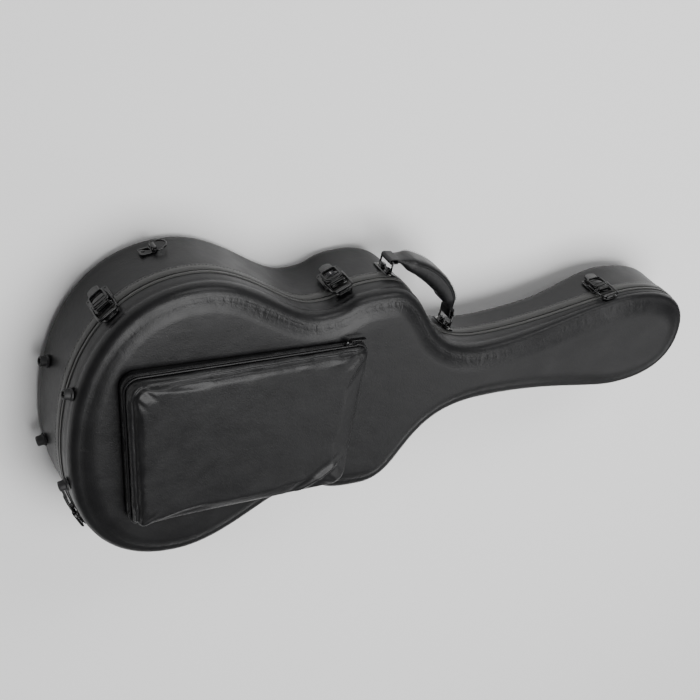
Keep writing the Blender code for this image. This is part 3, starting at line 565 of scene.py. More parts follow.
rest = softened("neck_rest_foam", "neck_cradle", PLUSH, 0.004)
stand_for(rest, "base", "plush", "neck_cradle")
box = softened("accessory_box_plush", "accessory_box", PLUSH, 0.0010)
stand_for(box, "base", "plush", "accessory_box")
flap = softened("accessory_flap", "accessory_lid", PLUSH, 0.0011)
stand_for(flap, "accessory_lid", "plush", "accessory_lid")
tab = softened("accessory_flap_tab", "accessory_pull_tab", SHELL_LEATHERETTE, 0.0004)
stand_for(tab, "accessory_lid", "leatherette", "accessory_pull_tab")


# ------------------------------------------------------------------ pocket's gusset and welts
# The pocket is sewn to the lid: a low gusset wall of leatherette, folded over at the top, with
# piped edges on both sides of the zip and a thin welt where the front is sewn straight down.
POCKET = ((0.084, -0.134), (0.057, 0.121), (0.430, 0.110), (0.424, -0.140))
POCKET_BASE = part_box("pocket_gusset")[0].z
POCKET_ZIP = (0.015, 0.008)      # zip line above the pocket's base, at its tail and head ends
POCKET_TOP = (0.036, 0.019)
POCKET_CORNER = 0.020
POCKET_STEPS = 320
ZIP_GAP = 0.0021                 # half the gap that the zip lies in
PIPING_LEATHERETTE = leatherette("folded_piping_leatherette", "161617", 0.32, 1.2, 0.0002)


def pocket_plan(steps):
    """Points and outward normals round the pocket, from the hinge side's tail corner."""
    corners = [Vector(p) for p in POCKET]
    dense = []
    for k, corner in enumerate(corners):
        before = (corners[k - 1] - corner).normalized()
        after = (corners[(k + 1) % 4] - corner).normalized()
        half = before.angle(after) / 2
        centre = corner + (before + after).normalized() * (POCKET_CORNER / math.sin(half))
        run = POCKET_CORNER / math.tan(half)
        start, end = corner + before * run - centre, corner + after * run - centre
        for t in np.linspace(0.0, 1.0, 14):
            dense.append(centre + start.lerp(end, t).normalized() * POCKET_CORNER)
    dense = np.array([(p.x, p.y) for p in dense + dense[:1]])
    run = np.concatenate(([0.0], np.cumsum(np.hypot(*np.diff(dense, axis=0).T))))
    want = np.linspace(0.0, run[-1], steps, endpoint=False)
    loop = np.stack([np.interp(want, run, dense[:, k]) for k in (0, 1)], axis=1)
    along = np.roll(loop, -1, axis=0) - np.roll(loop, 1, axis=0)
    normal = np.stack((-along[:, 1], along[:, 0]), axis=1)
    return loop, normal / np.linalg.norm(normal, axis=1)[:, None]


POCKET_LOOP, POCKET_NORMALS = pocket_plan(POCKET_STEPS)


def pocket_height(x, heights):
    """Height, at a distance from the tail, of a slope given by its heights at both ends."""
    share = (x - POCKET[1][0]) / (POCKET[2][0] - POCKET[1][0])
    return POCKET_BASE + heights[0] + (heights[1] - heights[0]) * share


ZIP_Z = pocket_height(POCKET_LOOP[:, 0], POCKET_ZIP)
NEAR_TAIL = POCKET_LOOP[:, 0] < 0.10
NEAR_HANDLE = POCKET_LOOP[:, 1] > 0.09


def pocket_ring(inset, height):
    """Points round the pocket at an inset from its outline, in the row frame."""
    flat = POCKET_LOOP - POCKET_NORMALS * np.broadcast_to(inset, POCKET_STEPS)[:, None]
    return np.column_stack((flat[:, 0] + TAIL_X, flat[:, 1], np.broadcast_to(height, POCKET_STEPS)))


def slanted_ring(inset, share):
    """Ring of the pocket between its zip line and its top, both of which slope to the head."""
    row = pocket_ring(inset, 0.0)
    low = pocket_height(row[:, 0] - TAIL_X, POCKET_ZIP) + ZIP_GAP + 0.0002
    high = pocket_height(row[:, 0] - TAIL_X, POCKET_TOP) - 0.0008
    row[:, 2] = low + (high - low) * share
    return row


def stacked(name, rows, *finishes):
    """Closed solid through rings of equal counts, capped at both ends."""
    bm = bmesh.new()
    rings = [[bm.verts.new(v) for v in row] for row in rows]
    total = len(rings[0])
    for low, high in zip(rings, rings[1:]):
        for k in range(total):
            n = (k + 1) % total
            bm.faces.new((low[k], low[n], high[n], high[k]))
    bm.faces.new(rings[0])
    bm.faces.new(rings[-1])
    return to_piece(name, bm, *finishes)


edge = ZIP_Z - ZIP_GAP
folds = 0.0005 * np.sin(np.arange(POCKET_STEPS) * 0.9) * np.sin(np.arange(POCKET_STEPS) * 0.37)
gusset = stacked("pocket_gusset_wall", [
    pocket_ring(0.0, POCKET_BASE), pocket_ring(-0.0010 + folds, POCKET_BASE + (edge - POCKET_BASE) * 0.3),
    pocket_ring(-0.0014 - folds, POCKET_BASE + (edge - POCKET_BASE) * 0.6),
    pocket_ring(-0.0008, POCKET_BASE + (edge - POCKET_BASE) * 0.9), pocket_ring(0.0004, edge),
    pocket_ring(0.0050, edge)], SHELL_LEATHERETTE)
stand_for(gusset, "lid", "leatherette", "pocket_gusset")

# Cord under a folded strip of leatherette: a round tube along each line.
PIPED, given = new_tree("piped_edge", Radius=0.0013, Step=0.003)
line = add(PIPED, "GeometryNodeMeshToCurve", {"Mesh": given.outputs["Geometry"]})
spots = add(PIPED, "GeometryNodeResampleCurve", {"Curve": line.outputs[0],
                                                 "Length": given.outputs["Step"]}, mode="LENGTH")
rim = add(PIPED, "GeometryNodeCurvePrimitiveCircle", {"Resolution": 10, "Radius": given.outputs["Radius"]})
tube = add(PIPED, "GeometryNodeCurveToMesh", {"Curve": spots.outputs[0], "Profile Curve": rim.outputs[0],
                                              "Fill Caps": True})
close_tree(PIPED, given, tube.outputs[0])

order = np.arange(POCKET_STEPS)
zip_first = int(np.argmax((POCKET_LOOP[:, 1] > -0.110) & NEAR_TAIL))
zip_last = int(order[(POCKET_LOOP[:, 0] < POCKET[2][0] - 0.020) & NEAR_HANDLE].max())
zipped = slice(zip_first, zip_last + 1)
sewn = np.concatenate((order[zip_last:], order[:zip_first + 1]))
low_pipe = pocket_ring(0.0006, edge + 0.0002)[zipped]
high_pipe = pocket_ring(0.0010, ZIP_Z + ZIP_GAP)[zipped]
piping = grow("pocket_zip_piping", PIPED, PIPING_LEATHERETTE, [low_pipe, high_pipe], Radius=0.0013)
stand_for(piping, "lid", "leatherette")
welt = grow("pocket_sewn_welt", PIPED, PIPING_LEATHERETTE, [pocket_ring(0.0012, ZIP_Z - 0.0002)[sewn]],
            Radius=0.0021)
stand_for(welt, "lid", "leatherette")


# ------------------------------------------------------------------ pocket's padded front
# A thin foam pad under leatherette, thickest at the tail's end. It is sewn along the welt and
# held by the zip on the other two sides, so the skin puckers along its edges and sags a little.
def inflate(piece, voxel, cap, pinned, pressure):
    """Even out a closed mesh, swell it as sewn cloth for twenty frames and keep the result.

    pinned says how firmly a point is held, from 0 to 1; no point moves further than cap.
    """
    step = piece.modifiers.new("even", "REMESH")
    step.mode = "VOXEL"
    step.voxel_size = voxel
    freeze(piece, step)
    mesh = piece.data
    mesh.shade_smooth()
    rest = np.empty(len(mesh.vertices) * 3)
    mesh.vertices.foreach_get("co", rest)
    rest = rest.reshape(-1, 3)
    pins = piece.vertex_groups.new(name="sewn_down")
    for number, place in enumerate(rest):
        pins.add([number], pinned(*place), "REPLACE")
    cloth = piece.modifiers.new("swell", "CLOTH")
    made = cloth.settings
    made.quality = 6
    made.mass = 0.2
    made.tension_stiffness = made.compression_stiffness = 12.0
    made.shear_stiffness = 4.0
    made.bending_stiffness = 0.3
    made.use_pressure = True
    made.uniform_pressure_force = pressure
    made.vertex_group_mass = "sewn_down"
    made.effector_weights.gravity = 0.0
    for number in range(1, 21):
        bpy.context.scene.frame_set(number)
    depsgraph = bpy.context.evaluated_depsgraph_get()
    swollen = bpy.data.meshes.new_from_object(piece.evaluated_get(depsgraph))
    found = np.empty(len(rest) * 3)
    swollen.vertices.foreach_get("co", found)
    moved = found.reshape(-1, 3) - rest
    far = np.linalg.norm(moved, axis=1)
    moved *= (np.minimum(far, cap) / np.maximum(far, 1e-9))[:, None]
    piece.modifiers.remove(cloth)
    piece.vertex_groups.clear()
    mesh.vertices.foreach_set("co", (rest + moved).ravel())
    mesh.update()
    bpy.data.meshes.remove(swollen)
    bpy.context.scene.frame_set(1)


def refine(piece):
    """Subdivide a piece once, for good."""
    step = piece.modifiers.new("finer", "SUBSURF")
    step.levels = step.render_levels = 1
    freeze(piece, step)
    piece.data.shade_smooth()


def distances(spots, first, last):
    """Each point's distance in plan from the line between two places, and the way along it."""
    a, b = np.array(first), np.array(last)
    run = (b - a) / np.linalg.norm(b - a)
    flat = spots[:, :2] - (a + (TAIL_X, 0.0))
    return np.abs(flat[:, 0] * run[1] - flat[:, 1] * run[0]), flat @ run


# Outside in: a soft roll next to the zip, a sewn-in groove, then the flat front, which slopes
# straight down to the lid on the head and hinge sides.
def blurred(values, reach=21):
    """Running mean round the pocket."""
    kernel = np.ones(reach) / reach
    return np.convolve(np.concatenate([values] * 3), kernel, "same")[POCKET_STEPS:2 * POCKET_STEPS]


ROLL_WIDTH = 0.0085
GROOVE_DEPTH, GROOVE_WIDTH = 0.0042, 0.0024
FOLD = ((0.326, -0.150), (0.412, -0.085))    # a fold across the head end's hinge side corner
by_zip = blurred((NEAR_TAIL | NEAR_HANDLE).astype(float))
rows = [slanted_ring(0.0016, 0.0)]
for angle in np.radians((12, 30, 50, 70, 90)):
    slope = 0.0050 * by_zip + 0.0160 * (1.0 - by_zip)
    rows.append(slanted_ring(0.0012 + slope * (1.0 - math.cos(angle)), math.sin(angle)))
rows.append(slanted_ring(0.0185, 1.0))
front = stacked("pocket_front_pad", rows, SHELL_LEATHERETTE)


def hold_front(x, _, z):
    """The front is held where it meets the zip and the welt."""
    return 1.0 if z - pocket_height(x - TAIL_X, POCKET_ZIP) < ZIP_GAP + 0.0018 else 0.0


inflate(front, 0.0035, 0.0030, hold_front, pressure=2.0)
refine(front)
spots = np.array([v.co for v in front.data.vertices])
handle_edge, along_handle = distances(spots, POCKET[1], POCKET[2])
tail_edge = distances(spots, POCKET[0], POCKET[1])[0]
fold, along_fold = distances(spots, *FOLD)
lifted = np.clip((spots[:, 2] - POCKET_BASE - 0.010) / 0.010, 0.0, 1.0)
near_slider = eased(along_handle, (0.20, 0.36))
amount = np.exp(-(handle_edge / 0.013) ** 2) * (0.15 + 0.45 * near_slider)
mark(front, "creases", amount)
turn_in = 0.020                  # the groove rounds the corner with this radius
corner = np.hypot(np.clip(ROLL_WIDTH + turn_in - handle_edge, 0.0, None),
                  np.clip(ROLL_WIDTH + turn_in - tail_edge, 0.0, None))
groove_off = np.abs(turn_in - corner)
for number, vertex in enumerate(front.data.vertices):
    along, across = along_handle[number], handle_edge[number]
    groove = -GROOVE_DEPTH * math.exp(-(groove_off[number] / GROOVE_WIDTH) ** 2)
    past = across > 0.001 and tail_edge[number] > 0.001
    ripple = noise.noise(Vector((along * 30.0, across * 14.0, 3.7)))
    ripple += 0.5 * noise.noise(Vector((along * 62.0, across * 24.0, 9.1)))
    puckers = (0.0009 + 0.0022 * near_slider[number]) * math.exp(-((across - 0.010) / 0.012) ** 2)
    sag = 0.0009 * noise.noise(Vector((vertex.co.x * 9.0, vertex.co.y * 9.0, 0.4)))
    ridge = 0.0022 * math.exp(-(fold[number] / 0.0045) ** 2) - 0.0020 * math.exp(
        -((fold[number] - 0.010) / 0.007) ** 2)
    reach = float(eased(along_fold[number], (0.0, 0.03)) * (1 - eased(along_fold[number], (0.07, 0.12))))
    vertex.co.z += lifted[number] * (ripple * puckers + sag + reach * ridge + (groove if past else 0.0))
mark(front, "run", along_handle)
front.data.update()
stand_for(front, "lid", "leatherette", "pocket_front")
sewn_edge = grow("pocket_edge_stitches", STITCHES, THREAD, [pocket_ring(0.0034, ZIP_Z + 0.0016)[sewn],
                 pocket_ring(-0.0016, POCKET_BASE + 0.0006)[sewn]],
                 Spacing=0.0040, Length=0.0027, Thread=0.00035)
stand_for(sewn_edge, "lid", "leatherette")
gusset_stitches = grow("gusset_stitches", STITCHES, THREAD,
                       [pocket_ring(-0.0012, edge - 0.0022)[zipped]],
                       Spacing=0.0036, Length=0.0024, Thread=0.00035)
stand_for(gusset_stitches, "lid", "leatherette")


# ------------------------------------------------------------------ zip
# Coarse nylon coil zip between the piped edges, its tape folded out of sight, with a black
# plated slider and a flat pull tab.
COIL, tree, shader = new_finish("moulded_nylon_coil", "0E0E0F", 0.32)
place = add(tree, "ShaderNodeTexCoord").outputs["Object"]
wear = add(tree, "ShaderNodeTexNoise", {"Vector": place, "Scale": 300.0})
tone = add(tree, "ShaderNodeMix", {"Factor": wear.outputs["Fac"], 6: linear("0B0B0C"), 7: linear("1D1D1E")},
           data_type="RGBA")
tree.links.new(tone.outputs[2], shader.inputs["Base Color"])
TAPE, tree, shader = new_finish("woven_polyester_tape", "0A0A0B", 0.8, Sheen_Weight=0.1)
place = add(tree, "ShaderNodeTexCoord").outputs["Object"]
weave = add(tree, "ShaderNodeTexWave", {"Vector": place, "Scale": 420.0}, bands_direction="DIAGONAL")
press = add(tree, "ShaderNodeBump", {"Strength": 0.5, "Distance": 0.0003, "Height": weave.outputs["Fac"]})
tree.links.new(press.outputs["Normal"], shader.inputs["Normal"])

# Zip coil: one small tooth per step, standing across the line and turned to follow it.
TEETH, given = new_tree("zip_coil", Spacing=0.0016, Width=0.0034)
line = add(TEETH, "GeometryNodeMeshToCurve", {"Mesh": given.outputs["Geometry"]})
spots = add(TEETH, "GeometryNodeResampleCurve", {"Curve": line.outputs[0],
                                                 "Length": given.outputs["Spacing"]}, mode="LENGTH")
way = add(TEETH, "GeometryNodeInputTangent")
turned = add(TEETH, "FunctionNodeAlignRotationToVector", {"Vector": way.outputs[0]}, axis="X")
size = add(TEETH, "ShaderNodeCombineXYZ", {0: 0.0009, 1: 0.0016, 2: given.outputs["Width"]})
tooth = add(TEETH, "GeometryNodeMeshCube", {"Size": size.outputs[0]})
laid = add(TEETH, "GeometryNodeInstanceOnPoints", {"Points": spots.outputs[0], "Instance": tooth.outputs[0],
                                                   "Rotation": turned.outputs[0]})
close_tree(TEETH, given, laid.outputs[0])

coil = grow("zip_coil", TEETH, COIL, [pocket_ring(0.0030, ZIP_Z)[zipped]], Spacing=0.0016, Width=0.0034)
stand_for(coil, "lid", "zip_nylon")
inner = pocket_ring(0.0075, ZIP_Z + ZIP_GAP)[zipped]
outer = pocket_ring(0.0040, ZIP_Z + ZIP_GAP)[zipped]
drop = np.array((0.0, 0.0, 2 * ZIP_GAP))
rows = [outer, inner, inner - drop, outer - drop]
bm = bmesh.new()
lines = [[bm.verts.new(v) for v in row] for row in rows]
for number in range(4):
    low, high = lines[number], lines[(number + 1) % 4]
    for k in range(len(low) - 1):
        bm.faces.new((low[k], low[k + 1], high[k + 1], high[k]))
bm.faces.new([row[0] for row in lines])
bm.faces.new([row[-1] for row in lines])
tape = to_piece("zip_tape", bm, TAPE)
stand_for(tape, "lid", "zip_nylon", "zipper_chain")


# ------------------------------------------------------------------ latches and lock
# Pressed steel draw latches, coated gloss black: a plate with two ears on the base, a lever
# with a raised rim, a flat bail and a keeper riveted to the lid. The second one has a lock.
def coated(name, hex_colour, roughness, peel, **sockets):
    """Coated or plated steel: a smooth face with a faint ripple of the given depth in metres."""
    made, tree, shader = new_finish(name, hex_colour, roughness, **sockets)
    place = add(tree, "ShaderNodeTexCoord").outputs["Object"]
    ripple = add(tree, "ShaderNodeTexNoise", {"Vector": place, "Scale": 700.0, "Detail": 2.0})
    rubbed = add(tree, "ShaderNodeMapRange", {"Value": ripple.outputs["Fac"], "From Min": 0.3,
                                              "From Max": 0.7, "To Min": roughness - 0.04,
                                              "To Max": roughness + 0.08})
    tree.links.new(rubbed.outputs[0], shader.inputs["Roughness"])
    press = add(tree, "ShaderNodeBump", {"Strength": 0.5, "Distance": peel,
                                         "Height": ripple.outputs["Fac"]})
    tree.links.new(press.outputs["Normal"], shader.inputs["Normal"])
    return made


GLOSS_BLACK = coated("electrocoated_pressed_steel", "050506", 0.12, 0.00005, Specular_IOR_Level=0.32,
                     Coat_Weight=0.25, Coat_Roughness=0.05)
NICKEL = coated("nickel_plated_die_casting", "A9A8A4", 0.24, 0.00004, Metallic=1.0)

# Rivet heads: a low dome on every point, turned to the point's facing direction.
RIVETS, given = new_tree("rivet_heads", Radius=0.0016, Height=0.0008)
facing = add(RIVETS, "GeometryNodeInputNamedAttribute", {"Name": "facing"}, data_type="FLOAT_VECTOR")
turned = add(RIVETS, "FunctionNodeAlignRotationToVector", {"Vector": facing.outputs[0]}, axis="Z")
dome = add(RIVETS, "GeometryNodeMeshUVSphere", {"Segments": 14, "Rings": 8, "Radius": 1.0})
size = add(RIVETS, "ShaderNodeCombineXYZ", {0: given.outputs["Radius"], 1: given.outputs["Radius"],
                                            2: given.outputs["Height"]})
points = add(RIVETS, "GeometryNodeMeshToPoints", {"Mesh": given.outputs["Geometry"]})
laid = add(RIVETS, "GeometryNodeInstanceOnPoints", {"Points": points.outputs[0],
                                                    "Instance": dome.outputs[0],
                                                    "Rotation": turned.outputs[0],
                                                    "Scale": size.outputs[0]})
close_tree(RIVETS, given, laid.outputs[0])


def metalwork(node, kind, body, radius, rounds=3):
    """A CAD node as gloss black steel with rounded edges, in the node's place."""
    made = softened(node + kind, node, GLOSS_BLACK, radius, rounds)
    stand_for(made, body, "black_metal", node)
    return made


def wall_frame(joint, lift, stand, along=None):
    """Frame on the wall behind a joint's pivot: X along the wall, Y outwards, Z up."""
    across = Vector(along or JOINTS[joint]["axis"]).normalized()
    out = Vector((0.0, 0.0, 1.0)).cross(across).normalized()
    place = Matrix((across, out, Vector((0.0, 0.0, 1.0)))).transposed().to_4x4()
    place.translation = Vector(JOINTS[joint]["pos_m"]) - out * stand + Vector((0.0, 0.0, lift))
    return place


def riveted(name, body, place, spots, finish, slot, radius=0.0016, height=0.0008):
    """Rivet heads at local points of a wall frame."""
    out = [place @ Vector(p) for p in spots]
    heads = grow(name, RIVETS, finish, [out], facing=[tuple(place.col[1].xyz)] * len(out),
                 Radius=radius, Height=height)
    stand_for(heads, body, slot)


def loop_of(width, low, high, radius, y, steps=6):
    """Closed rounded rectangle across a wall frame, in local points."""
    points = []
    for k, (sx, sz) in enumerate(((1, 1), (-1, 1), (-1, -1), (1, -1))):
        centre = (sx * (width / 2 - radius), (high - radius) if sz > 0 else (low + radius))
        for step in range(steps + 1):
            a = math.radians(90 * k + 90 * step / steps)
            points.append((centre[0] + radius * math.cos(a), y, centre[1] + radius * math.sin(a)))
    return points


LEVER_BACK, LEVER_OUT = 0.008, 0.0055    # lever pivot below the seam and off the latch's seat
LEVER_FACE, BAIL_FACE, KEEPER_FACE, PLATE_FACE = 0.0078, 0.0068, 0.0015, 0.0016
for number in "1234":
    lever, bail = "lever_" + number, "bail_" + number
    place = wall_frame(lever + "_hinge", LEVER_BACK, LEVER_OUT)
    for part, body, radius in (("latch_plate_", "base", 0.0005), ("latch_lever_", lever, 0.0008),
                               ("latch_bail_", bail, 0.0010), ("latch_keeper_", "lid", 0.0006)):
        metalwork(part + number, "_pressing", body, radius)
    rim = [place @ Vector(p) for p in loop_of(0.0225, -0.0372, -0.0150, 0.0040, LEVER_FACE)]
    bars = [[place @ Vector((x, LEVER_FACE, z)) for x in (-0.0104, 0.0104)]
            for z in (-0.0215, -0.0310)]
    rail = grow("lever_rim_" + number, PIPED, GLOSS_BLACK, [rim + rim[:1]], Radius=0.0011)
    stand_for(rail, lever, "black_metal")
    steps = grow("lever_steps_" + number, PIPED, GLOSS_BLACK, bars, Radius=0.0005)
    stand_for(steps, lever, "black_metal")
    crown = [place @ Vector(p) for p in loop_of(0.0315, -0.0180, 0.0131, 0.0050, BAIL_FACE)]
    fold = grow("bail_bead_" + number, PIPED, GLOSS_BLACK, [crown[:len(crown) // 2]], Radius=0.0009)
    stand_for(fold, bail, "black_metal")
    riveted("keeper_rivets_" + number, "lid", place,
            [(x, KEEPER_FACE, 0.0100) for x in (-0.0110, 0.0110)], GLOSS_BLACK, "black_metal", 0.0013)
    riveted("plate_rivets_" + number, "base", place,
            [(x, PLATE_FACE, z) for x in (-0.0150, 0.0150) for z in (-0.0095, -0.0415)],
            GLOSS_BLACK, "black_metal")
BLACK_NICKEL = coated("black_nickel_plated_brass", "3B3B3D", 0.25, 0.00004, Metallic=1.0)
barrel = softened("lock_barrel_turned", "lock_barrel", BLACK_NICKEL, 0.0003)
stand_for(barrel, "lock_barrel", "bright_metal", "lock_barrel")
LOCK = wall_frame("lever_2_hinge", -0.018, -0.0040)
slot_sides = [LOCK @ Vector(p) for p in ((0.0, 0.0, -0.0022), (0.0, 0.0, 0.0022))]
slot = grow("lock_key_slot", PIPED, NICKEL, [slot_sides], Radius=0.0007)
stand_for(slot, "lock_barrel", "bright_metal")
collar = grow("lock_collar", PIPED, BLACK_NICKEL, [[
    LOCK @ Vector((0.0056 * math.cos(a), -0.0014, 0.0056 * math.sin(a)))
    for a in np.linspace(0.0, 2 * math.pi, 25)]], Radius=0.0008)
stand_for(collar, "lever_2", "bright_metal")


# ------------------------------------------------------------------ lid hinges
# Two steel butt hinges on the hinge side, gloss black, each leaf held by three rivets, with a
# plain steel pin through both leaves.
HINGE_TURN = wall_frame("lid_hinge", 0.0, 0.0)
LEAF_FACE = -0.0021              # outer face of a leaf, outwards from the pin's middle
for tag in ("lower", "upper"):
    for part, body in (("hinge_base_leaf_", "base"), ("hinge_lid_leaf_", "lid"), ("hinge_pin_", "base")):
        metalwork(part + tag, "_pressing", body, 0.0004)
    middle = (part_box("hinge_pin_" + tag)[0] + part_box("hinge_pin_" + tag)[1]) / 2
    along, out = HINGE_TURN.col[0].xyz, -HINGE_TURN.col[1].xyz
    for body, up in (("base", -1), ("lid", 1)):
        spots = [middle + along * x + out * LEAF_FACE + Vector((0.0, 0.0, up * 0.0160))
                 for x in (-0.020, 0.0, 0.020)]
        heads = grow("hinge_rivets_" + body + "_" + tag, RIVETS, GLOSS_BLACK, [spots],
                     facing=[tuple(out)] * 3, Radius=0.0022, Height=0.0010)
        stand_for(heads, body, "black_metal")


# ------------------------------------------------------------------ feet
# Four moulded rubber buttons on the tail, each screwed through its hollow middle, for standing
# the case on end.
RUBBER, tree, shader = new_finish("moulded_foot_rubber", "0D0D0E", 0.58)
place = add(tree, "ShaderNodeTexCoord").outputs["Object"]
bloom = add(tree, "ShaderNodeTexNoise", {"Vector": place, "Scale": 260.0, "Detail": 3.0})
tone = add(tree, "ShaderNodeMix", {
    "Factor": bloom.outputs["Fac"], 6: linear("0A0A0B"), 7: linear("18181A")}, data_type="RGBA")
tree.links.new(tone.outputs[2], shader.inputs["Base Color"])
FOOT = [(0.0, 0.0), (0.0095, 0.0), (0.0095, 0.0019), (0.0088, 0.0027), (0.0079, 0.0034),
        (0.0073, 0.0060), (0.0074, 0.0104), (0.0068, 0.0117), (0.0058, 0.0120), (0.0046, 0.0116),
        (0.0040, 0.0100), (0.0038, 0.0080), (0.0, 0.0078)]
SCREW = [(0.0, 0.0078), (0.0030, 0.0078), (0.0028, 0.0088), (0.0016, 0.0095), (0.0, 0.0096)]
FOOT_LEAN = 0.1821               # how far each pair of feet turns out to its side
TURNS = 32


def spun(name, profile, seat, away, finish):
    """A profile of (radius, distance out) turned round an axis that stands on a seat."""
    sideways = Vector((0.0, 0.0, 1.0)).cross(away)
    bm = bmesh.new()
    rows = []
    for radius, out in profile:
        centre = seat + away * out
        spins = [2 * math.pi * k / TURNS for k in range(TURNS)] if radius else [0.0]
        rows.append([bm.verts.new(centre + sideways * radius * math.cos(a)
                                  + Vector((0.0, 0.0, 1.0)) * radius * math.sin(a)) for a in spins])
    for first, second in zip(rows, rows[1:]):
        for k in range(TURNS):
            n = (k + 1) % TURNS
            low = (first[k], first[n]) if len(first) > 1 else (first[0],)
            high = (second[n], second[k]) if len(second) > 1 else (second[0],)
            bm.faces.new(low + high)
    return to_piece(name, bm, finish)


for level in ("base", "lid"):
    for side, lean in (("handle_side", FOOT_LEAN), ("hinge_side", -FOOT_LEAN)):
        node = "foot_" + level + "_" + side
        middle = (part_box(node)[0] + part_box(node)[1]) / 2
        away = Vector((-1.0, lean, 0.0)).normalized()
        seat = middle + away * min((v.co - middle).dot(away) for v in NODES[node].data.vertices)
        stand_for(spun(node + "_rubber", FOOT, seat, away, RUBBER), level, "foot_rubber", node)
        stand_for(spun(node + "_screw", SCREW, seat, away, NICKEL), level, "bright_metal")


# ------------------------------------------------------------------ carrying handle
# A strip of foam wrapped in leatherette, with a piped edge on both sides, narrows to straps
# that loop round two rectangular wire rings; the rings swing in riveted black brackets.
HANDLE_Z = JOINTS["handle_ring_tail_hinge"]["pos_m"][2]
OUTER_BARS = [Vector((0.2912, 0.1936)), Vector((0.4163, 0.0808))]    # tail ring's, head ring's
BRACKET_ALONG = {"tail": (0.9704, -0.2414, 0.0), "head": (0.9258, -0.3779, 0.0)}
STRAP = (0.0022, 0.0130)         # half thickness, half width
PAD = (0.0088, 0.0198)
GRIP_BELLY = 0.0110              # extra padding on the inner side, at the middle
HANDLE_LEATHERETTE = leatherette("folded_handle_leatherette", "131314", 0.34, 1.2, 0.0003, 0.0006)


def grip_spot(t):
    """Point of the handle's middle line, bowed away from the case."""
    start, end = OUTER_BARS
    reach = (end - start).length
    first = start + Vector((0.98, -0.10)).normalized() * reach * 0.38
    second = end + Vector((-0.06, 1.0)).normalized() * reach * 0.38
    u = 1.0 - t
    return start * u ** 3 + first * 3 * u * u * t + second * 3 * u * t * t + end * t ** 3


def grip_frame(t):
    """Middle, way along and way out at a share of the handle's length."""
    run = (grip_spot(min(t + 0.01, 1.0)) - grip_spot(max(t - 0.01, 0.0))).normalized()
    return grip_spot(t), run, Vector((-run.y, run.x))


def grip_sizes(t):
    """Half thickness and half width at a share of the handle's length."""
    share = float(eased(t - 0.08, (0.0, 0.13)) * eased(0.92 - t, (0.0, 0.13)))
    return [a + (b - a) * share for a, b in zip(STRAP, PAD)]


def grip_line(across, out, first=0.03, last=0.97, steps=90):
    """Points along the handle at shares of its half width and half thickness."""
    points = []
    for t in np.linspace(first, last, steps):
        centre, _, way = grip_frame(t)
        thick, wide = grip_sizes(t)
        flat = centre + way * thick * out
        points.append((flat.x, flat.y, HANDLE_Z + wide * across))
    return points


rows = []
for t in np.linspace(0.045, 0.955, 60):
    centre, _, way = grip_frame(t)
    thick, wide = grip_sizes(t)
    row = []
    for a in np.linspace(0.0, 2 * math.pi, 28, endpoint=False):
        c, d = math.cos(a), math.sin(a)
        deep = thick if c > 0 else thick + GRIP_BELLY * math.sin(math.pi * t) ** 1.3
        flat = centre + way * deep * math.copysign(abs(c) ** 0.65, c)
        row.append((flat.x, flat.y, HANDLE_Z + wide * math.copysign(abs(d) ** 0.45, d)))
    rows.append(row)
grip = stacked("handle_padded_grip", rows, HANDLE_LEATHERETTE)
STATIONS = 41
HANDLE_MIDDLE = [grip_frame(t)[0] for t in np.linspace(0.0, 1.0, STATIONS)]


def station(x, y):
    """Number of the handle's station that is nearest in plan."""
    return min(range(STATIONS), key=lambda k: (HANDLE_MIDDLE[k] - Vector((x, y))).length_squared)


def hold_grip(x, y, z):
    """The grip is held along its piped edges and at both straps."""
    near = station(x, y)
    _, wide = grip_sizes(near / 40)
    edge = eased(abs(z - HANDLE_Z) / wide, (0.80, 0.97))
    ends = 1.0 - float(eased(min(near, 40 - near) / 40, (0.08, 0.2)))
    return float(max(edge, ends))


inflate(grip, 0.0022, 0.0014, hold_grip, pressure=4.0)
refine(grip)
amount = []
for vertex in grip.data.vertices:
    near = station(*vertex.co.xy)
    inner = (vertex.co.xy - HANDLE_MIDDLE[near]).dot(grip_frame(near / 40)[2]) < 0
    amount.append(0.9 if inner else 0.25)
    wave = noise.noise(Vector((near * 0.55, vertex.co.z * 40.0, 2.0)))
    vertex.co.xy += grip_frame(near / 40)[2] * wave * (0.0008 if inner else 0.0003)
mark(grip, "creases", amount)
mark(grip, "run", [v.co.x for v in grip.data.vertices])
stand_for(grip, "handle_grip", "leatherette", "handle_grip")
edges = grow("handle_edge_piping", PIPED, PIPING_LEATHERETTE,
             [grip_line(0.97, 0.25, 0.05, 0.95), grip_line(-0.97, 0.25, 0.05, 0.95)], Radius=0.0012)
stand_for(edges, "handle_grip", "leatherette")
sewn_rows = grow("handle_stitches", STITCHES, THREAD,
                 [grip_line(side * 0.80, 0.96, 0.10, 0.90) for side in (1, -1)],
                 Spacing=0.0042, Length=0.0028, Thread=0.0003)
stand_for(sewn_rows, "handle_grip", "leatherette")
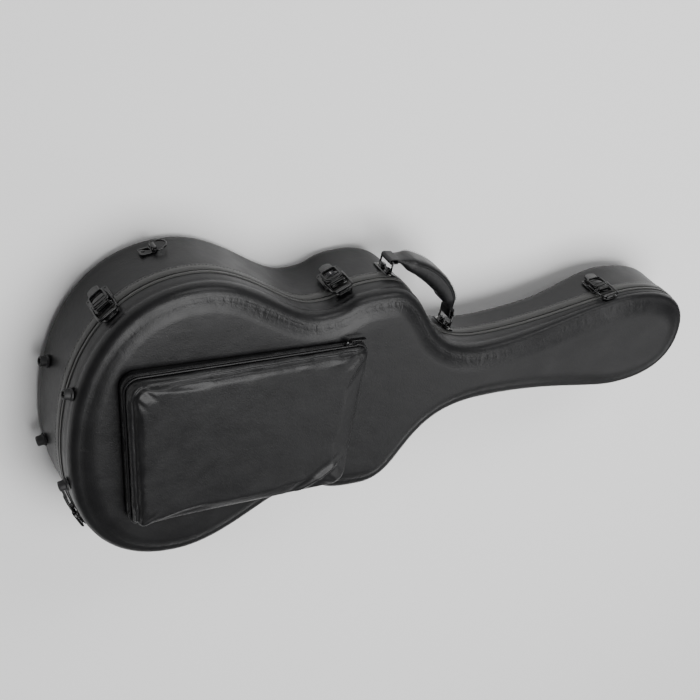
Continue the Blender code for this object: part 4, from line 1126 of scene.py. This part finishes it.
for tag, bar, end in (("tail", OUTER_BARS[0], 0.0), ("head", OUTER_BARS[1], 1.0)):
    bm = bmesh.new()
    centre, run, way = grip_frame(end)
    inward = run if end == 0.0 else -run
    strip = []
    for k in range(13):
        a = math.radians(90 + 15 * k)
        strip.append((bar + way * 0.0030 * math.sin(a) + inward * 0.0030 * math.cos(a),
                      way * math.sin(a) + inward * math.cos(a)))
    reach = 0.0115
    tails = [(bar + inward * reach + way * side * 0.0024, way * side) for side in (1, -1)]
    strip = [tails[0]] + strip + [tails[1]]
    rows = []
    for flat, out in strip:
        for side in (1, -1):
            rows.append([bm.verts.new((p.x, p.y, HANDLE_Z + z)) for p, z in (
                (flat, side * STRAP[1]), (flat + out * 0.0014, side * STRAP[1]))])
    for k in range(len(strip) - 1):
        a0, a1 = rows[2 * k]
        b0, b1 = rows[2 * k + 1]
        c0, c1 = rows[2 * k + 2]
        d0, d1 = rows[2 * k + 3]
        for face in ((a1, b1, d1, c1), (a0, c0, d0, b0), (a0, a1, c1, c0), (b0, d0, d1, b1)):
            bm.faces.new(face)
    for k in (0, len(strip) - 1):
        bm.faces.new((rows[2 * k][0], rows[2 * k][1], rows[2 * k + 1][1], rows[2 * k + 1][0]))
    wrap = to_piece("handle_strap_loop_" + tag, bm, HANDLE_LEATHERETTE)
    stand_for(wrap, "handle_grip", "leatherette")
    joint = "handle_ring_" + tag + "_hinge"
    metalwork("handle_ring_" + tag, "_wire", "handle_ring_" + tag, 0.0001, 1).data.shade_smooth()
    metalwork("handle_bracket_" + tag, "_pressing", "base", 0.0005)
    place = wall_frame(joint, 0.0, 0.0055, BRACKET_ALONG[tag])
    riveted("handle_bracket_rivets_" + tag, "base", place, [(0.0, 0.0015, z) for z in (-0.0170, 0.0170)],
            NICKEL, "bright_metal", 0.0024, 0.0014)


# ------------------------------------------------------------------ strap rings
# A steel D-ring on each side of the tail, held by a riveted plate. The zip's slider and pull
# are cast, and all of them are coated in the same gloss black.
ANCHOR_ALONG = {"handle_side": (0.9879, 0.155, 0.0), "hinge_side": (-0.9879, 0.155, 0.0)}
for side, sign in (("handle_side", 1), ("hinge_side", -1)):
    metalwork("strap_anchor_" + side, "_pressing", "base", 0.0005)
    metalwork("strap_ring_" + side, "_wire", "strap_ring_" + side, 0.0001, 1).data.shade_smooth()
    place = wall_frame("strap_ring_" + side + "_hinge", 0.0, 0.0050, ANCHOR_ALONG[side])
    riveted("strap_anchor_rivet_" + side, "base", place, [(-sign * 0.0150, 0.0015, 0.0)],
            GLOSS_BLACK, "black_metal", 0.0026, 0.0013)
for node in ("zipper_slider", "zipper_pull"):
    metalwork(node, "_casting", node, 0.0005)
